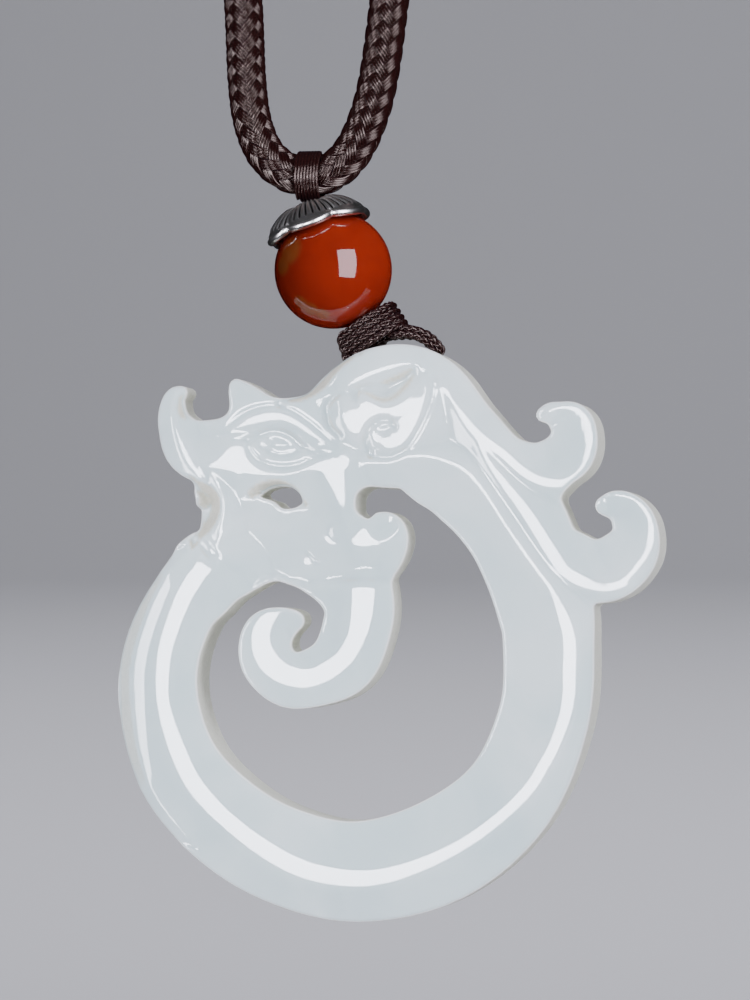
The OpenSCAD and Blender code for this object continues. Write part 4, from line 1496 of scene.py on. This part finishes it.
# The turn that would lie on the middle, counted from 0
TURN_CENTRED = 1.4
HUMP_TURNS = [
    [
        (388, 331, 0.3), (392, 335.5, 1.0), (400, 335.2, 1.45), (412, 335.8, 1.5), (424, 340.5, 1.3),
        (433, 348.5, 0.7), (436, 355, 0.2), (424, 366, 0.0),
    ],
    [
        (390, 325, 0.0), (396, 329, 0.8), (404, 329.2, 1.1), (416, 330.5, 1.15), (427, 335.2, 1.0),
        (437, 344.5, 0.6), (441, 353, 0.1), (426, 368, 0.0),
    ],
]


class PENDANT_OT_knot(bpy.types.Operator):
    """Tie the fine braids between the bead and the jade's two slanted holes"""

    bl_idname = "pendant.knot"
    bl_label = "Tie"

    # Step along a way, the radius that the strands run round, their number, the length of one
    # turn, their width and their thickness
    STEP = 0.16 * MM
    CORE = 0.27 * MM
    STRANDS = 8
    PITCH = 3.2 * MM
    WIDTH = 0.34 * MM
    THICK = 0.17 * MM

    def behind(self, rows):
        """The same way on the back."""
        return [(across, down, -forward) for across, down, forward in rows]

    def turn(self, k):
        """One slanted turn, up the front and down the back."""
        off = (k - TURN_CENTRED) * TURN_GAP
        middle = (TURN_MIDDLE[0] + off * -TURN_WAY[1], TURN_MIDDLE[1] + off * TURN_WAY[0])
        front = [(x, y, LOW_FORWARD + LOW_ROOM * k) for x, y in TIE_LOW]
        front += [(middle[0] + a * TURN_WAY[0], middle[1] + a * TURN_WAY[1], y) for a, y in TURN_STEPS]
        return front + self.behind(reversed(front))

    def execute(self, context):
        settings = context.scene.pendant_cord
        sheet = Sheet(1 * MM)
        ways = [self.turn(k) for k in range(TURNS)]
        for rows in HUMP_TURNS:
            ways += [rows, self.behind(rows)]
        parts = []
        for rows in ways:
            flat = smooth_curve(rows, 6)
            xz = np.array([sheet.point(across, down) for across, down, _ in flat])
            points = np.column_stack([xz[:, 0], -flat[:, 2] * MM, xz[:, 1]])
            parts.append(braid_parts(*even_points(points, self.STEP), self.CORE, self.STRANDS, self.PITCH,
                                     self.WIDTH, self.THICK, threads=1))
        piece = joined("jade_tie_braids", parts)
        piece.data.materials.append(braid_material("fine_brown_braid", settings, 800))
        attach(piece, "root")
        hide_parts("jade_knot")
        return {"FINISHED"}


class PENDANT_OT_thread(bpy.types.Operator):
    """Wind the thread that holds the bead round the neck cord"""

    bl_idname = "pendant.thread"
    bl_label = "Thread"

    # The winding's thread, its turns, the room round the cord's solid and how close turns lie
    THREAD = 0.32 * MM
    TURNS = 7
    ROOM = 0.32 * MM
    CLOSE = 0.98
    # The twisted strands through cap and bead: their number, where they start and end from the
    # bead's middle, their radius, how far they lie from the axis and the length of one twist
    STRANDS = 3
    STRAND_ENDS = (-5.1 * MM, 7.0 * MM)
    STRAND_RADIUS = 0.36 * MM
    STRAND_OFF = 0.38 * MM
    STRAND_TWIST = 4 * MM
    SIDES = 8

    def winding(self):
        """The thread's way round the foot of the neck cord."""
        foot = CORD_BOX[0][2] + CORD_D / 2
        radius = CORD_D / 2 + self.ROOM + self.THREAD / 2
        t = np.linspace(-0.2, self.TURNS + 0.2, 40 * self.TURNS)
        x = HANG_X + (t / self.TURNS - 0.5) * (self.TURNS * self.THREAD * self.CLOSE)
        angle = 2 * math.pi * t
        return np.column_stack([x, -radius * np.cos(angle), foot + radius * np.sin(angle)])

    def strand(self, k, lean):
        """The way of one twisted strand along the bead's axis."""
        low, high = (np.array(corner) for corner in BEAD_BOX)
        axis = np.array([-math.sin(lean), 0, math.cos(lean)])
        aside = np.array([axis[2], 0, -axis[0]])
        back = np.array([0, 1, 0])
        s = np.linspace(*self.STRAND_ENDS, 60)
        twist = 2 * math.pi * (k / self.STRANDS + s / self.STRAND_TWIST)
        off = np.cos(twist)[:, None] * aside + np.sin(twist)[:, None] * back
        return (low + high) / 2 + s[:, None] * axis + self.STRAND_OFF * off

    def execute(self, context):
        settings = context.scene.pendant_cord
        lean = context.scene.pendant_bead.lean
        parts = [tube_parts(*even_points(self.winding(), 0.14 * MM), self.THREAD / 2, self.SIDES)]
        for k in range(self.STRANDS):
            way = even_points(self.strand(k, lean), 0.3 * MM)
            parts.append(tube_parts(*way, self.STRAND_RADIUS, self.SIDES))
        piece = joined("bead_thread_winding", parts)
        piece.data.materials.append(braid_material("brown_thread", settings, 1200))
        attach(piece, "root")
        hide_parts("bead_thread")
        return {"FINISHED"}


class PENDANT_OT_stage(bpy.types.Operator):
    """Set the floor, the backdrop, the lights and the camera"""

    bl_idname = "pendant.stage"
    bl_label = "Stage"

    # The camera's turn and rise in degrees, the place that it looks at, its distance and the
    # height of its frame there
    VIEW_TURN = 11
    VIEW_RISE = -2
    TARGET = Vector((5.97, 0, -324.5)) * MM
    DISTANCE = 420 * MM
    FRAME_HEIGHT = 100 * MM
    # The floor's side, how far under the pendant it lies, where its wall stands and how high it
    # is, and the bend between them
    SWEEP_SIDE = 6
    FLOOR_UNDER = 30 * MM
    WALL_BACK = 0.75
    WALL_HIGH = 3
    BEND = 0.5
    SWEEP_COLOUR = (0.38, 0.38, 0.385)
    LIGHT_COLOUR = (0.90, 0.90, 1.0)
    WORLD_COLOUR = (0.55, 0.56, 0.58)
    WORLD_STRENGTH = 0.32
    # The place that the lights point at
    LIT = Vector((7.5 * MM, 0, -338 * MM))
    # Lights: name, turn and rise in degrees, distance and size in metres, watts, the group of
    # pieces that it spares, and whether surfaces mirror it
    LIGHTS = [
        ("key_box", -11, 0.5, 0.5, (0.19, 0.15), 2.9, "beads_left_dark", True),
        ("side_strip", -47.5, -4, 0.6, (0.126, 0.5), 3.6, "beads_left_dark", True),
        ("window", 39, 14, 0.3, (0.19, 0.3), 2.0, "jade_left_dark", True),
        ("top_wash", 20, 65, 0.9, (0.8, 0.8), 5, None, False),
        ("right_wash", 71, 0, 0.4, (0.12, 0.3), 2.0, "beads_left_dark", False),
    ]
    BACK_LIGHT = ("back_wash", 180, 35, 0.5, (0.8, 0.4), 4, None, False)
    BACK_TILT = math.radians(-70)

    def direction(self, turn, rise):
        """The way out from the pendant at a turn to the right and a rise, in degrees."""
        turn, rise = math.radians(turn), math.radians(rise)
        return Vector((math.sin(turn) * math.cos(rise), -math.cos(turn) * math.cos(rise), math.sin(rise)))

    def execute(self, context):
        scene = context.scene
        camera = bpy.data.objects.new("camera", bpy.data.cameras.new("camera"))
        scene.collection.objects.link(camera)
        away = self.direction(self.VIEW_TURN, self.VIEW_RISE)
        camera.location = self.TARGET + away * self.DISTANCE
        camera.rotation_euler = (-away).to_track_quat("-Z", "Y").to_euler()
        camera.data.sensor_width = 36
        camera.data.lens = 36 * self.DISTANCE / self.FRAME_HEIGHT
        camera.data.clip_start = 0.01
        scene.camera = camera
        deselect()
        self.sweep(CAD_BOX[0][2] - self.FLOOR_UNDER)
        for row in self.LIGHTS:
            self.light(*row)
        self.light(*self.BACK_LIGHT).rotation_euler = (self.BACK_TILT, 0, 0)
        world = bpy.data.worlds.new("studio")
        scene.world = world
        world.use_nodes = True
        background = world.node_tree.nodes["Background"]
        background.inputs["Color"].default_value = (*self.WORLD_COLOUR, 1)
        background.inputs["Strength"].default_value = self.WORLD_STRENGTH
        world.cycles_visibility.glossy = False
        return {"FINISHED"}

    def sweep(self, floor_z):
        """A pale floor that rises behind in one smooth bend."""
        deselect()
        place = (0, self.WALL_BACK - self.SWEEP_SIDE / 2, floor_z)
        bpy.ops.mesh.primitive_plane_add(size=self.SWEEP_SIDE, location=place)
        floor = bpy.context.object
        floor.name = "sweep"
        bpy.ops.object.mode_set(mode="EDIT")
        bpy.ops.mesh.select_all(action="DESELECT")
        bpy.ops.object.mode_set(mode="OBJECT")
        for edge in floor.data.edges:
            edge.select = all(floor.data.vertices[v].co.y > 0 for v in edge.vertices)
        bpy.ops.object.mode_set(mode="EDIT")
        bpy.ops.mesh.select_mode(type="EDGE")
        bpy.ops.mesh.extrude_region_move(TRANSFORM_OT_translate={"value": (0, 0, self.WALL_HIGH)})
        bpy.ops.object.mode_set(mode="OBJECT")
        bend = floor.modifiers.new("Bend", "BEVEL")
        bend.width = self.BEND
        bend.segments = 24
        apply_all(floor)
        bpy.ops.object.shade_smooth()
        material, _, _, shader = new_material("pale_sweep")
        shader.inputs["Base Color"].default_value = (*self.SWEEP_COLOUR, 1)
        shader.inputs["Roughness"].default_value = 0.9
        floor.data.materials.append(material)
        floor.visible_glossy = False

    def light(self, name, turn, rise, distance, size, power, spared, mirrored):
        """A soft box at a direction from the jade. It may spare one group of pieces."""
        data = bpy.data.lights.new(name, "AREA")
        data.shape = "RECTANGLE"
        data.size, data.size_y = size
        data.energy = power
        data.color = self.LIGHT_COLOUR
        lamp = bpy.data.objects.new(name, data)
        bpy.context.scene.collection.objects.link(lamp)
        away = self.direction(turn, rise)
        lamp.location = self.LIT + away * distance
        lamp.rotation_euler = (-away).to_track_quat("-Z", "Y").to_euler()
        lamp.visible_glossy = mirrored
        if spared:
            lamp.light_linking.receiver_collection = spared_group(spared)
        return lamp


class PENDANT_PT_panel(bpy.types.Panel):
    """The pendant's sizes, colours and pieces in the sidebar"""

    bl_label = "Jade Pendant"
    bl_space_type = "VIEW_3D"
    bl_region_type = "UI"
    bl_category = "Jade Pendant"

    def draw(self, context):
        for name, group in SETTINGS.items():
            box = self.layout.box()
            for setting in group.__annotations__:
                box.prop(getattr(context.scene, name), setting)
        for step in STEPS:
            self.layout.operator(f"pendant.{step}")


SETTINGS = {"pendant_jade": PendantJade, "pendant_bead": PendantBead, "pendant_cord": PendantCord}
STEPS = ["stage", "jade", "bead", "cap", "thread", "knot", "cord"]
CLASSES = (PendantJade, PendantBead, PendantCord, PENDANT_OT_jade, PENDANT_OT_bead, PENDANT_OT_cap,
           PENDANT_OT_thread, PENDANT_OT_knot, PENDANT_OT_cord, PENDANT_OT_stage, PENDANT_PT_panel)


def register():
    """Adds the classes and the scene's settings."""
    for cls in CLASSES:
        bpy.utils.register_class(cls)
    for name, group in SETTINGS.items():
        setattr(bpy.types.Scene, name, bpy.props.PointerProperty(type=group))


def unregister():
    """Takes them away again."""
    for name in SETTINGS:
        delattr(bpy.types.Scene, name)
    for cls in reversed(CLASSES):
        bpy.utils.unregister_class(cls)


def main():
    """Builds the pendant step by step."""
    register()
    for step in STEPS:
        getattr(bpy.ops.pendant, step)()
    bpy.context.view_layer.update()


if __name__ == "__main__":
    main()
